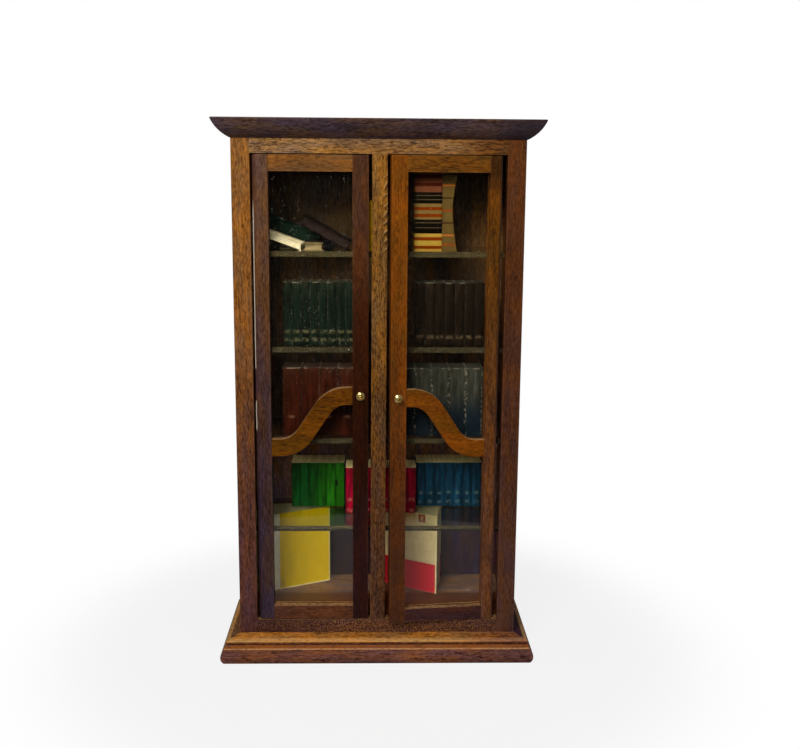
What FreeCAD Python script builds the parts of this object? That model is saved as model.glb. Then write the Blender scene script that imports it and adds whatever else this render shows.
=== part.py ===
import FreeCAD, Part
import Sketcher
import math
import os
import re

# A twelfth-scale glazed book cabinet. Lengths are millimetres and angles are degrees.
# The front plane is the face of the posts. X runs to the right, Y to the back and Z up.
# The origin is the centre of the underside.

# Driving sizes
SIZES = {
    # carcass
    "overall_height": 180.0,
    "width_over_posts": 93.5,
    "carcass_depth": 40.3,
    "side_thickness": 2.4,
    "back_thickness": 1.6,
    "top_board_thickness": 2.4,
    "base_board_thickness": 2.4,
    "floor_board_thickness": 2.2,
    "floor_height": 15.0,
    "rabbet_depth": 1.2,
    "dado_depth": 0.8,
    "joint_play": 0.05,
    # face frame
    "post_width": 5.9,
    "frame_thickness": 4.0,
    "mullion_width": 5.0,
    "mullion_lean": 0.36,
    "mullion_bow": 0.32,
    "sill_height": 13.65,
    "head_depth": 10.7,
    # clear shelves
    "shelf_thickness": 1.8,
    "shelf_setback": 0.3,
    "shelf_one_share": 0.759,
    "shelf_two_share": 0.566,
    "shelf_three_share": 0.376,
    "shelf_four_share": 0.188,
    # crown moulding
    "crown_height": 6.1,
    "crown_projection": 5.5,
    "crown_bulge": 0.75,
    "crown_lip": 0.4,
    # base mouldings
    "cap_height": 2.5,
    "cap_projection": 4.5,
    "cap_nose_radius": 0.65,
    "plinth_height": 6.6,
    "plinth_projection": 6.15,
    "plinth_foot_inset": 0.95,
    "plinth_shoulder_inset": 1.05,
    "plinth_shoulder_height": 5.05,
    "plinth_ledge_inset": 2.1,
    # doors
    "door_gap_post": 0.55,
    "door_gap_mullion": 0.735,
    "right_door_trim": 0.35,
    "hinge_round_relief": 0.9,
    "door_gap_end": 0.35,
    "stile_width": 5.15,
    "door_head_rail": 5.2,
    "door_foot_rail": 4.6,
    "door_ajar": 6.5,
    "groove_depth": 1.0,
    "pane_thickness": 0.8,
    "pane_setback": 2.3,
    "pane_play": 0.05,
    # curved bar across each pane, with its bends and flats as shares of the pane's width
    "bar_width": 5.9,
    "bar_low_height": 59.9,
    "bar_rise": 17.4,
    "bar_bend_share": 0.355,
    "bar_low_flat_share": 0.112,
    "bar_high_flat_share": 0.072,
    # knobs
    "knob_flange_radius": 1.4,
    "knob_flange_thickness": 0.4,
    "knob_neck_radius": 0.55,
    "knob_ball_radius": 1.0,
    "knob_reach": 2.9,
    "knob_stem_radius": 0.45,
    "knob_stem_length": 2.2,
    # hinge pins
    "pin_radius": 0.5,
    "pin_seat": 3.0,
    "pin_play": 0.06,
    "pin_grip": 0.02,
    # books
    "spine_round": 0.5,
    "cover_thickness": 0.35,
    "page_margin": 0.45,
    "book_play": 0.1,
    "flap_foot_width": 5.0,
    "flap_waist_width": 3.4,
    "flap_curl_width": 3.95,
    "flap_top_width": 7.3,
    "green_tilt": 19.9,
    "cream_tilt": 20.0,
    # length by which a cutting tool runs past what it cuts
    "overrun": 1.0,
}

doc = FreeCAD.newDocument("book_cabinet")
sheet = doc.addObject("Spreadsheet::Sheet", "Sizes")
for row, (alias, size) in enumerate(SIZES.items(), start=1):
    sheet.set(f"A{row}", alias)
    sheet.set(f"B{row}", str(size))
    sheet.setAlias(f"B{row}", alias)
doc.recompute()

V = FreeCAD.Vector
parts = []


# Expressions are written with bare aliases, and name the sheet here
def expand(text):
    def with_sheet(match):
        word = match.group()
        return f"Sizes.{word}" if word in SIZES else word
    return re.sub(r"[a-z_]+", with_sheet, text)


def number(text):
    result = sheet.evalExpression(expand(text))
    return getattr(result, "Value", result)


def bind(thing, path, text):
    thing.setExpression(path, expand(text))


def flip(side, text):
    """The text as it is on the right, and its opposite on the left."""
    return f"({text})" if side > 0 else f"-({text})"


def set_base(thing, x, y, z):
    for axis, text in zip("xyz", (x, y, z)):
        bind(thing, f"Placement.Base.{axis}", text)


def keep(thing, label):
    thing.Label = label
    parts.append(thing)
    return thing


# Part primitives
def block(name, corner, size):
    box = doc.addObject("Part::Box", name)
    set_base(box, *corner)
    for side, text in zip(("Length", "Width", "Height"), size):
        bind(box, side, text)
    return box


def rod(name, foot, radius, height):
    cylinder = doc.addObject("Part::Cylinder", name)
    set_base(cylinder, *foot)
    bind(cylinder, "Radius", radius)
    bind(cylinder, "Height", height)
    return cylinder


def cut(name, base, tools):
    joined = doc.addObject("Part::MultiFuse", f"{name}_tools")
    joined.Shapes = tools
    result = doc.addObject("Part::Cut", name)
    result.Base = base
    result.Tool = joined
    return result


# Sketched bodies
def new_body(label, x, y, z):
    body = doc.addObject("PartDesign::Body", label)
    set_base(body, x, y, z)
    return keep(body, label)


def new_sketch(body, role, name, lift="0"):
    sketch = body.newObject("Sketcher::SketchObject", name)
    plane = next(f for f in body.Origin.OriginFeatures if f.Role == role)
    sketch.AttachmentSupport = (plane, [""])
    sketch.MapMode = "FlatFace"
    bind(sketch, "AttachmentOffset.Base.z", lift)
    return sketch


def hold_point(sketch, curve, end, x, y):
    """Dimension one point from the sketch's two axes."""
    for kind, axis, text in (("DistanceX", -2, x), ("DistanceY", -1, y)):
        if text == "0":
            sketch.addConstraint(Sketcher.Constraint("PointOnObject", curve, end, axis))
        else:
            index = sketch.addConstraint(Sketcher.Constraint(kind, -1, 1, curve, end, number(text)))
            bind(sketch, f"Constraints[{index}]", text)


def outline(body, role, name, start, steps, lift="0"):
    """A closed outline: each step is a line to (x, y), or an arc by (x, y) to (x, y)."""
    sketch = new_sketch(body, role, name, lift)
    corners = [start] + [step[-2:] for step in steps]
    spots = [V(number(x), number(y), 0) for x, y in corners]
    ends = []
    for index, step in enumerate(steps):
        first, last = spots[index], spots[index + 1]
        if len(step) == 2:
            sketch.addGeometry(Part.LineSegment(first, last))
            ends.append((1, 2))
            continue
        middle = V(number(step[0]), number(step[1]), 0)
        anticlockwise = (middle - first).cross(last - middle).z > 0
        between = (first, middle, last) if anticlockwise else (last, middle, first)
        sketch.addGeometry(Part.Arc(*between))
        ends.append((1, 2) if anticlockwise else (2, 1))
    for index, step in enumerate(steps):
        following = (index + 1) % len(steps)
        join = Sketcher.Constraint("Coincident", index, ends[index][1], following, ends[following][0])
        sketch.addConstraint(join)
        hold_point(sketch, index, ends[index][0], *corners[index])
    for index, step in enumerate(steps):
        if len(step) == 4:
            mark = sketch.addGeometry(Part.Point(V(number(step[0]), number(step[1]), 0)), True)
            hold_point(sketch, mark, 1, step[0], step[1])
            sketch.addConstraint(Sketcher.Constraint("PointOnObject", mark, 1, index))
    return sketch


def rectangle(body, role, name, low, high, lift="0"):
    (x0, y0), (x1, y1) = low, high
    return outline(body, role, name, low, [(x1, y0), (x1, y1), (x0, y1), (x0, y0)], lift)


def disc(body, role, name, centre, radius, lift="0"):
    sketch = new_sketch(body, role, name, lift)
    sketch.addGeometry(Part.Circle(V(number(centre[0]), number(centre[1]), 0), V(0, 0, 1), number(radius)))
    hold_point(sketch, 0, 3, *centre)
    index = sketch.addConstraint(Sketcher.Constraint("Radius", 0, number(radius)))
    bind(sketch, f"Constraints[{index}]", radius)
    return sketch


def extrude(body, kind, sketch, length, reverse=False, both_ways=False):
    feature = body.newObject(f"PartDesign::{kind}", f"{sketch.Name}_{kind.lower()}")
    feature.Profile = sketch
    feature.Reversed = reverse
    if both_ways:
        feature.SideType = "Symmetric"
    bind(feature, "Length", length)
    return feature


def pad(body, sketch, length, **ways):
    return extrude(body, "Pad", sketch, length, **ways)


def pocket(body, sketch, length, **ways):
    return extrude(body, "Pocket", sketch, length, **ways)


# Places that several pieces share
FRONT = "((plinth_projection - carcass_depth) / 2)"
BACK = f"({FRONT} + carcass_depth)"
HALF_WIDTH = "(width_over_posts / 2)"
HALF_INSIDE = "(width_over_posts / 2 - side_thickness)"
HALF_OPENING = "(width_over_posts / 2 - post_width)"
TOP_UNDERSIDE = "(overall_height - top_board_thickness)"
CARCASS_HEIGHT = "(overall_height - top_board_thickness - base_board_thickness)"
HEAD_FOOT = "(overall_height - head_depth)"
INSIDE_HEIGHT = "(overall_height - top_board_thickness - floor_height)"
FRAME_BACK = f"({FRONT} + frame_thickness)"
PANEL_FRONT = f"({BACK} - back_thickness)"
SHELF_FRONT = f"({FRAME_BACK} + shelf_setback)"
SHELF_RUN = f"({PANEL_FRONT} - shelf_setback - {SHELF_FRONT})"
SHELF_WORDS = ("one", "two", "three", "four")


def shelf_top(word):
    return f"(floor_height + shelf_{word}_share * {INSIDE_HEIGHT})"


# Carcass boards
def make_side_panel(side, hand):
    def side_block(name, near, far, y, z, depth, height):
        start = near if side > 0 else f"-({far})"
        return block(f"{name}_{hand}", (start, y, z), (f"{far} - {near}", depth, height))

    board = side_block("side_board", HALF_INSIDE, HALF_WIDTH, FRAME_BACK, "base_board_thickness",
                       "carcass_depth - frame_thickness", CARCASS_HEIGHT)
    slot_near, slot_far = f"({HALF_INSIDE} - overrun)", f"({HALF_INSIDE} + dado_depth)"
    tools = [
        side_block("rabbet", slot_near, f"({HALF_INSIDE} + rabbet_depth)", PANEL_FRONT,
                   "base_board_thickness - overrun", "back_thickness + overrun",
                   f"{CARCASS_HEIGHT} + 2 * overrun"),
        side_block("floor_dado", slot_near, slot_far, f"{FRAME_BACK} - overrun",
                   "floor_height - floor_board_thickness",
                   f"{PANEL_FRONT} - {FRAME_BACK} + overrun", "floor_board_thickness"),
    ]
    for word in SHELF_WORDS:
        tools.append(side_block(f"shelf_{word}_dado", slot_near, slot_far,
                                f"{FRAME_BACK} - overrun", f"{shelf_top(word)} - shelf_thickness",
                                f"{PANEL_FRONT} - {FRAME_BACK} + overrun",
                                "shelf_thickness + joint_play"))
    keep(cut(f"side_panel_{hand}", board, tools), f"side_panel_{hand}")


def make_carcass():
    for side, hand in ((-1, "left"), (1, "right")):
        make_side_panel(side, hand)
    keep(block("top_board", (f"-{HALF_WIDTH}", FRONT, TOP_UNDERSIDE),
               ("width_over_posts", "carcass_depth", "top_board_thickness")), "top_board")
    keep(block("base_board", (f"-{HALF_WIDTH}", FRONT, "0"),
               ("width_over_posts", "carcass_depth", "base_board_thickness")), "base_board")
    panel_edge = f"({HALF_INSIDE} + rabbet_depth - joint_play)"
    keep(block("back_panel", (f"-{panel_edge}", PANEL_FRONT, "base_board_thickness"),
               (f"2 * {panel_edge}", "back_thickness", CARCASS_HEIGHT)), "back_panel")
    floor_edge = f"({HALF_INSIDE} + dado_depth - joint_play)"
    keep(block("floor_board", (f"-{floor_edge}", FRAME_BACK, "floor_height - floor_board_thickness"),
               (f"2 * {floor_edge}", f"{PANEL_FRONT} - {FRAME_BACK}", "floor_board_thickness")),
         "floor_board")
    for word in SHELF_WORDS:
        label = f"clear_shelf_{word}"
        keep(block(label, (f"-{floor_edge}", SHELF_FRONT, f"{shelf_top(word)} - shelf_thickness"),
                   (f"2 * {floor_edge}", SHELF_RUN, "shelf_thickness")), label)


# Face frame, with a tight hole in each rail for every hinge pin
PIVOT_X = f"({HALF_OPENING} - door_gap_post - frame_thickness / 2)"
PIVOT_Y = f"({FRONT} + frame_thickness / 2)"
DOOR_FOOT = "(sill_height + door_gap_end)"
DOOR_TOP = f"({HEAD_FOOT} - door_gap_end)"
DOOR_HEIGHT = f"({DOOR_TOP} - {DOOR_FOOT})"
DOOR_WIDTH = f"({HALF_OPENING} - mullion_width / 2 - door_gap_post - door_gap_mullion)"


def make_rail(label, foot, height, hole_foot, hole_depth):
    board = block(f"{label}_board", (f"-{HALF_OPENING}", FRONT, foot),
                  (f"2 * {HALF_OPENING}", "frame_thickness", height))
    holes = [rod(f"{label}_hole_{hand}", (flip(side, PIVOT_X), PIVOT_Y, hole_foot),
                 "pin_radius + pin_grip", hole_depth)
             for side, hand in ((-1, "left"), (1, "right"))]
    keep(cut(label, board, holes), label)


def make_mullion():
    """The strip between the doors: its head is off centre, and its middle bows the same way."""
    body = new_body("centre_mullion", "0", FRONT, "sill_height")
    height, half = f"({HEAD_FOOT} - sill_height)", "mullion_width / 2"
    middle = f"({height} / 2)"
    bowed = "mullion_lean / 2 + mullion_bow"
    face = outline(body, "XZ_Plane", "mullion_face", (f"-{half}", "0"),
                   [(half, "0"),
                    (f"{bowed} + {half}", middle, f"mullion_lean + {half}", height),
                    (f"mullion_lean - {half}", height),
                    (f"{bowed} - {half}", middle, f"-{half}", "0")])
    pad(body, face, "frame_thickness", reverse=True)


def make_face_frame():
    for side, hand in ((-1, "left"), (1, "right")):
        start = HALF_OPENING if side > 0 else f"-{HALF_WIDTH}"
        label = f"front_post_{hand}"
        keep(block(label, (start, FRONT, "base_board_thickness"),
                   ("post_width", "frame_thickness", CARCASS_HEIGHT)), label)
    make_rail("top_rail", HEAD_FOOT, f"{TOP_UNDERSIDE} - {HEAD_FOOT}",
              f"{HEAD_FOOT} - overrun", "pin_seat + overrun")
    make_rail("bottom_rail", "base_board_thickness", "sill_height - base_board_thickness",
              "sill_height - pin_seat", "pin_seat + overrun")
    make_mullion()


def make_hinge_pins():
    length = "2 * pin_seat + door_gap_end"
    for side, hand in ((-1, "left"), (1, "right")):
        for end, foot in (("top", f"{DOOR_TOP} - pin_seat"), ("bottom", "sill_height - pin_seat")):
            label = f"hinge_pin_{hand}_{end}"
            keep(rod(label, (flip(side, PIVOT_X), PIVOT_Y, foot), "pin_radius", length), label)


# Mitred mouldings: the profile's first number is how far it stands out, the second its height
def arc_by(start, end, bulge):
    """The middle of an arc that bulges to the right of the way from start to end."""
    (x0, y0), (x1, y1) = start, end
    run, rise = f"({x1} - {x0})", f"({y1} - {y0})"
    chord = f"sqrt({run} * {run} + {rise} * {rise})"
    return (f"(({x0} + {x1}) / 2 + {bulge} * {rise} / {chord})",
            f"(({y0} + {y1}) / 2 - {bulge} * {run} / {chord})")


def mould(name, foot, height, projection, start, steps):
    past = f"({projection} + overrun)"
    through = f"{height} + 2 * overrun"

    front = new_body(f"{name}_front", "0", FRONT, foot)
    turned = [tuple(f"-({text})" if spot % 2 == 0 and text != "0" else text
                    for spot, text in enumerate(step)) for step in [start] + steps]
    profile = outline(front, "YZ_Plane", f"{name}_front_profile", turned[0], turned[1:])
    pad(front, profile, f"width_over_posts + 2 * {projection}", both_ways=True)
    for side, hand in ((-1, "left"), (1, "right")):
        corner, tip = flip(side, HALF_WIDTH), flip(side, f"{HALF_WIDTH} + {past}")
        mitre = outline(front, "XY_Plane", f"{name}_front_mitre_{hand}", (corner, "0"),
                        [(tip, f"-{past}"), (tip, "0"), (corner, "0")], lift="-overrun")
        pocket(front, mitre, through, reverse=True)

    for side, hand in ((-1, "left"), (1, "right")):
        body = new_body(f"{name}_{hand}", flip(side, HALF_WIDTH), FRONT, foot)
        turned = [tuple(flip(side, text) if spot % 2 == 0 and text != "0" else text
                        for spot, text in enumerate(step)) for step in [start] + steps]
        profile = outline(body, "XZ_Plane", f"{name}_{hand}_profile", turned[0], turned[1:],
                          lift=projection)
        pad(body, profile, f"carcass_depth + {projection}", reverse=True)
        mitre = outline(body, "XY_Plane", f"{name}_{hand}_mitre", ("0", "0"),
                        [("0", f"-{past}"), (flip(side, past), f"-{past}"), ("0", "0")],
                        lift="-overrun")
        pocket(body, mitre, through, reverse=True)


def make_mouldings():
    crown_tip = ("crown_projection", "(crown_height - crown_lip)")
    mould("crown", "overall_height - crown_height", "crown_height", "crown_projection", ("0", "0"),
          [arc_by(("0", "0"), crown_tip, "crown_bulge") + crown_tip,
           ("crown_projection", "crown_height"), ("0", "crown_height"), ("0", "0")])
    nose_x = "(cap_projection - cap_nose_radius)"
    mould("base_cap", "plinth_height", "cap_height", "cap_projection", ("0", "0"),
          [(nose_x, "0"), ("cap_projection", "cap_nose_radius", nose_x, "2 * cap_nose_radius"),
           ("0", "cap_height"), ("0", "0")])
    mould("plinth", "0", "plinth_height", "plinth_projection", ("0", "0"),
          [("plinth_projection - plinth_foot_inset", "0"),
           ("plinth_projection", "plinth_shoulder_height / 2",
            "plinth_projection - plinth_shoulder_inset", "plinth_shoulder_height"),
           ("plinth_projection - plinth_ledge_inset", "plinth_height"),
           ("0", "plinth_height"), ("0", "0")])


# Doors. Each is drawn from its pivot: u runs from the pivot to the free edge, Y to the back
# from the middle of the door's thickness, and Z up from the door's foot.
HALF_DOOR = "(frame_thickness / 2)"
STILE_INNER = f"(stile_width - {HALF_DOOR})"
PANE_FRONT = f"(pane_setback - {HALF_DOOR})"
PANE_BACK = f"({PANE_FRONT} + pane_thickness)"
GROOVE_FRONT = f"({PANE_FRONT} - pane_play)"
GROOVE_BACK = f"({PANE_BACK} + pane_play)"
TONGUE = "(groove_depth - pane_play)"
KNOB_HEIGHT = "(bar_low_height + bar_rise)"


def free_edge(side):
    """The right door is planed a little narrower than the left one."""
    return f"({DOOR_WIDTH} - {HALF_DOOR} - right_door_trim)" if side > 0 else \
        f"({DOOR_WIDTH} - {HALF_DOOR})"


def free_inner(side):
    return f"({free_edge(side)} - stile_width)"


def rail_length(side):
    return f"({free_inner(side)} - {STILE_INNER})"


def hinge_round(side):
    """How far the round at the hinge stands out from the pivot: less on the right door."""
    return f"({HALF_DOOR} - hinge_round_relief)" if side > 0 else HALF_DOOR


def new_door_body(label, side):
    body = new_body(label, flip(side, PIVOT_X), PIVOT_Y, DOOR_FOOT)
    if side > 0:
        bind(body, "Placement.Rotation.Angle", "door_ajar")
    return body


def make_outer_stile(hand, side, way):
    """Half round at the hinge, grooved for the pane, and bored at both ends for the pins."""
    body = new_door_body(f"door_{hand}_outer_stile", side)
    inner, groove = way(STILE_INNER), way(f"{STILE_INNER} - groove_depth")
    plan = outline(body, "XY_Plane", f"{hand}_outer_plan", ("0", f"-{HALF_DOOR}"),
                   [(inner, f"-{HALF_DOOR}"), (inner, GROOVE_FRONT), (groove, GROOVE_FRONT),
                    (groove, GROOVE_BACK), (inner, GROOVE_BACK), (inner, HALF_DOOR),
                    ("0", HALF_DOOR), (way(f"-{hinge_round(side)}"), "0", "0", f"-{HALF_DOOR}")])
    pad(body, plan, DOOR_HEIGHT)
    bore, depth = "pin_radius + pin_play", "pin_seat + pin_play"
    foot_bore = disc(body, "XY_Plane", f"{hand}_foot_bore", ("0", "0"), bore)
    pocket(body, foot_bore, depth, reverse=True)
    head_bore = disc(body, "XY_Plane", f"{hand}_head_bore", ("0", "0"), bore, lift=DOOR_HEIGHT)
    pocket(body, head_bore, depth)


def make_inner_stile(hand, side, way):
    """Square at the free edge, grooved for the pane, and bored for the knob's stem."""
    body = new_door_body(f"door_{hand}_inner_stile", side)
    inner, edge = way(free_inner(side)), way(free_edge(side))
    groove = way(f"{free_inner(side)} + groove_depth")
    plan = outline(body, "XY_Plane", f"{hand}_inner_plan", (edge, f"-{HALF_DOOR}"),
                   [(edge, HALF_DOOR), (inner, HALF_DOOR), (inner, GROOVE_BACK),
                    (groove, GROOVE_BACK), (groove, GROOVE_FRONT), (inner, GROOVE_FRONT),
                    (inner, f"-{HALF_DOOR}"), (edge, f"-{HALF_DOOR}")])
    pad(body, plan, DOOR_HEIGHT)
    spot = (way(f"{free_edge(side)} - stile_width / 2"), KNOB_HEIGHT)
    bore = disc(body, "XZ_Plane", f"{hand}_knob_bore", spot, "knob_stem_radius + pin_grip",
                lift=HALF_DOOR)
    pocket(body, bore, "knob_stem_length + joint_play")


def make_door_rail(hand, side, way, place, height, flat, grooved):
    """Grooved along the edge that faces the pane, with a tongue in each stile's groove."""
    body = new_door_body(f"door_{hand}_{place}_rail", side)
    middle = way(f"(({free_inner(side)} + {STILE_INNER}) / 2)")
    groove = f"({grooved} - groove_depth)" if place == "bottom" else f"({grooved} + groove_depth)"
    section = outline(body, "YZ_Plane", f"{hand}_{place}_section", (f"-{HALF_DOOR}", flat),
                      [(HALF_DOOR, flat), (HALF_DOOR, grooved), (GROOVE_BACK, grooved),
                       (GROOVE_BACK, groove), (GROOVE_FRONT, groove), (GROOVE_FRONT, grooved),
                       (f"-{HALF_DOOR}", grooved), (f"-{HALF_DOOR}", flat)], lift=middle)
    pad(body, section, rail_length(side), both_ways=True)
    tongue = rectangle(body, "YZ_Plane", f"{hand}_{place}_tongue", (PANE_FRONT, flat),
                       (PANE_BACK, groove), lift=middle)
    pad(body, tongue, f"{rail_length(side)} + 2 * {TONGUE}", both_ways=True)


def make_bar(hand, side, way):
    """The S-curved bar: two bends of one radius, joined by the straight line that meets both."""
    body = new_door_body(f"door_{hand}_curved_bar", side)
    half, bend = "(bar_width / 2)", f"(bar_bend_share * {rail_length(side)})"
    wide, tight = f"({bend} + {half})", f"({bend} - {half})"
    low_u = f"({STILE_INNER} + bar_low_flat_share * {rail_length(side)})"
    high_u = f"({free_inner(side)} - bar_high_flat_share * {rail_length(side)})"
    run, lift = f"({high_u} - {low_u})", f"(bar_rise - 2 * {bend})"
    reach = f"sqrt({run} * {run} + {lift} * {lift})"
    slope = f"(atan({lift} / {run}) + asin(2 * {bend} / {reach}))"
    half_slope, level = f"{slope} / 2", "0"
    start, end = way(STILE_INNER), way(free_inner(side))

    def low_bend(radius, angle):
        return (way(f"{low_u} + {radius} * sin({angle})"),
                f"bar_low_height + {bend} - {radius} * cos({angle})")

    def high_bend(radius, angle):
        return (way(f"{high_u} - {radius} * sin({angle})"),
                f"{KNOB_HEIGHT} - {bend} + {radius} * cos({angle})")

    face = outline(
        body, "XZ_Plane", f"{hand}_bar_face", (start, f"bar_low_height - {half}"),
        [low_bend(wide, level),
         low_bend(wide, half_slope) + low_bend(wide, slope),
         high_bend(tight, slope),
         high_bend(tight, half_slope) + high_bend(tight, level),
         (end, f"{KNOB_HEIGHT} - {half}"),
         (end, f"{KNOB_HEIGHT} + {half}"),
         high_bend(wide, level),
         high_bend(wide, half_slope) + high_bend(wide, slope),
         low_bend(tight, slope),
         low_bend(tight, half_slope) + low_bend(tight, level),
         (start, f"bar_low_height + {half}"),
         (start, f"bar_low_height - {half}")],
        lift=HALF_DOOR)
    pad(body, face, "pane_setback - pane_play", reverse=True)


def make_pane(hand, side, way):
    body = new_door_body(f"door_{hand}_pane", side)
    low = (way(f"{STILE_INNER} - {TONGUE}"), f"door_foot_rail - {TONGUE}")
    high = (way(f"{free_inner(side)} + {TONGUE}"), f"{DOOR_HEIGHT} - door_head_rail + {TONGUE}")
    face = rectangle(body, "XZ_Plane", f"{hand}_pane_face", low, high, lift=f"-{PANE_FRONT}")
    pad(body, face, "pane_thickness", reverse=True)


def make_knob(hand, side, way):
    """Turned in one piece: stem, flange, neck and ball."""
    body = new_door_body(f"door_{hand}_knob", side)
    face = f"-{HALF_DOOR}"
    neck_start = f"({face} - knob_flange_thickness)"
    ball = f"({face} - knob_reach + knob_ball_radius)"
    rise = "sqrt(knob_ball_radius * knob_ball_radius - knob_neck_radius * knob_neck_radius)"
    ball_back = f"({ball} + {rise})"
    side_on = outline(
        body, "XY_Plane", f"{hand}_knob_profile", ("0", f"{face} + knob_stem_length"),
        [("0", f"{face} - knob_reach"),
         ("knob_ball_radius", ball, "knob_neck_radius", ball_back),
         ("knob_neck_radius", neck_start),
         ("knob_flange_radius", neck_start),
         ("knob_flange_radius", face),
         ("knob_stem_radius", face),
         ("knob_stem_radius", f"{face} + knob_stem_length"),
         ("0", f"{face} + knob_stem_length")], lift=KNOB_HEIGHT)
    bind(side_on, "AttachmentOffset.Base.x", way(f"{free_edge(side)} - stile_width / 2"))
    turning = body.newObject("PartDesign::Revolution", f"{hand}_knob_turning")
    turning.Profile = side_on
    turning.ReferenceAxis = (side_on, ["V_Axis"])


def make_doors():
    for side, hand in ((-1, "left"), (1, "right")):
        def way(text, side=side):
            return flip(-side, text)

        make_outer_stile(hand, side, way)
        make_inner_stile(hand, side, way)
        make_door_rail(hand, side, way, "bottom", "door_foot_rail", "0", "door_foot_rail")
        make_door_rail(hand, side, way, "top", "door_head_rail", DOOR_HEIGHT,
                       f"({DOOR_HEIGHT} - door_head_rail)")
        make_bar(hand, side, way)
        make_pane(hand, side, way)
        make_knob(hand, side, way)


# Books. Each bay is given by what its books stand on and by its clear height. Places across
# are shares of the inside half width, places back are shares of the shelf's depth, and
# heights and thicknesses are shares of the bay's clear height.
BAYS = {
    "top": (shelf_top("one"), f"({TOP_UNDERSIDE} - {shelf_top('one')})"),
    "second": (shelf_top("two"), f"({shelf_top('one')} - shelf_thickness - {shelf_top('two')})"),
    "third": (shelf_top("three"), f"({shelf_top('two')} - shelf_thickness - {shelf_top('three')})"),
    "fourth": (shelf_top("four"), f"({shelf_top('three')} - shelf_thickness - {shelf_top('four')})"),
    "bottom": ("floor_height", f"({shelf_top('four')} - shelf_thickness - floor_height)"),
}

# name, bay, volumes, then the left, right, front, back and height shares
SET_SHARES = (
    ("book_set_dark_green", "second", 9, -0.715, -0.115, 0.173, 0.525, 0.705),
    ("book_set_black", "second", 7, 0.280, 0.797, 0.173, 0.525, 0.705),
    ("book_set_brown", "third", 5, -0.725, -0.022, 0.115, 0.470, 0.800),
    ("book_set_slate", "third", 5, 0.150, 0.793, 0.115, 0.470, 0.800),
    ("book_set_green", "fourth", 6, -0.695, -0.271, 0.651, 0.995, 0.559),
    ("book_set_crimson", "fourth", 8, -0.254, 0.303, 0.414, 0.743, 0.575),
    ("book_set_teal", "fourth", 7, 0.314, 0.841, 0.651, 0.995, 0.565),
)

# name, bay, the spine's corner, the fore-edge's corner, then the thickness and height shares
STANDING_SHARES = (
    ("book_yellow", "bottom", (-0.455, 0.982), (-0.921, 0.674), 0.200, 0.950),
    ("book_cream_red", "bottom", (0.056, 0.768), (0.477, 0.440), 0.110, 0.965),
    ("book_gold", "top", (-0.011, 0.040), (-0.011, 0.390), 0.128, 0.415),
    ("book_striped", "top", (0.462, 0.040), (0.462, 0.600), 0.231, 0.716),
)

# Books that stand a little open, as shares of their width: how much shorter across, and how
# far turned out, a board is at the fore-edge. First the board on the book's own line, then
# the one opposite.
SPLAY_SHARES = {
    "book_yellow": ((0.06, 0.34), (0, 0)),
    "book_cream_red": ((0, 0), (0.21, 0.40)),
}
SHUT = ((0, 0), (0, 0))

# name, then the left, right, front, back and thickness shares of the books that lie flat
FLAT_SHARES = (
    ("fallen_book_grey", -0.753, -0.578, 0.416, 0.640, 0.056),
    ("fallen_book_ivory", -0.555, -0.414, 0.160, 0.411, 0.059),
    ("fallen_book_navy", -0.568, -0.345, 0.468, 0.640, 0.066),
)

# name, then the right, front, back and thickness shares of the books that lean
LEANING_SHARES = (
    ("fallen_book_cream", -0.579, 0.160, 0.411, 0.064),
    ("fallen_book_green", -0.471, 0.650, 0.995, 0.115),
    ("fallen_book_burgundy", -0.236, 0.230, 0.640, 0.080),
)
BURGUNDY_LENGTH_SHARE = 0.46

# heights up the striped book where its wrapper is narrowest, and where it turns out again
WAIST_SHARE = 0.52
CURL_SHARE = 0.72


def across(share):
    return f"({share} * {HALF_INSIDE})"


def back(share):
    return f"({SHELF_FRONT} + {share} * {SHELF_RUN})"


def make_book_set(name, bay, volumes, left, right, front, rear, height):
    """One block of like volumes, with a round spine to each."""
    foot, clear = BAYS[bay]
    body = new_body(name, across(left), back(front), foot)
    width = f"({across(right)} - {across(left)})"
    depth = f"({back(rear)} - {back(front)})"
    steps = [(f"({volume} + 1 / 2) / {volumes} * {width}", "0",
              f"{volume + 1} / {volumes} * {width}", "spine_round") for volume in range(volumes)]
    plan = outline(body, "XY_Plane", f"{name}_plan", ("0", "spine_round"),
                   steps + [(f"{volumes} / {volumes} * {width}", depth), ("0", depth),
                            ("0", "spine_round")])
    pad(body, plan, f"{height} * {clear}")


def add_book(body, name, width, thickness, height):
    """A cover round a page block: X from the spine to the fore-edge, Y across, Z up."""
    skin, margin = "cover_thickness", "page_margin"
    far = f"({thickness} - {skin})"
    (low_less, low_out), (high_less, high_out) = SPLAY_SHARES.get(name, SHUT)
    low_x, high_x = f"((1 - {low_less}) * {width})", f"((1 - {high_less}) * {width})"
    low_y = f"(-{low_out} * {width})" if low_out else "0"
    low_inside, high_y = f"({low_y} + {skin})", f"({thickness} + {high_out} * {width})"
    high_inside = f"({high_y} - {skin})"
    plan = outline(body, "XY_Plane", f"{name}_cover", ("0", "0"),
                   [(low_x, low_y), (low_x, low_inside), (skin, skin), (skin, far),
                    (high_x, high_inside), (high_x, high_y), ("0", thickness),
                    ("-spine_round", f"{thickness} / 2", "0", "0")])
    pad(body, plan, height)
    pages = outline(body, "XY_Plane", f"{name}_pages", (skin, skin),
                    [(f"({low_x} - {margin})", low_inside), (f"({high_x} - {margin})", high_inside),
                     (skin, far), (skin, skin)], lift=margin)
    pad(body, pages, f"{height} - 2 * {margin}")


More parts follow.
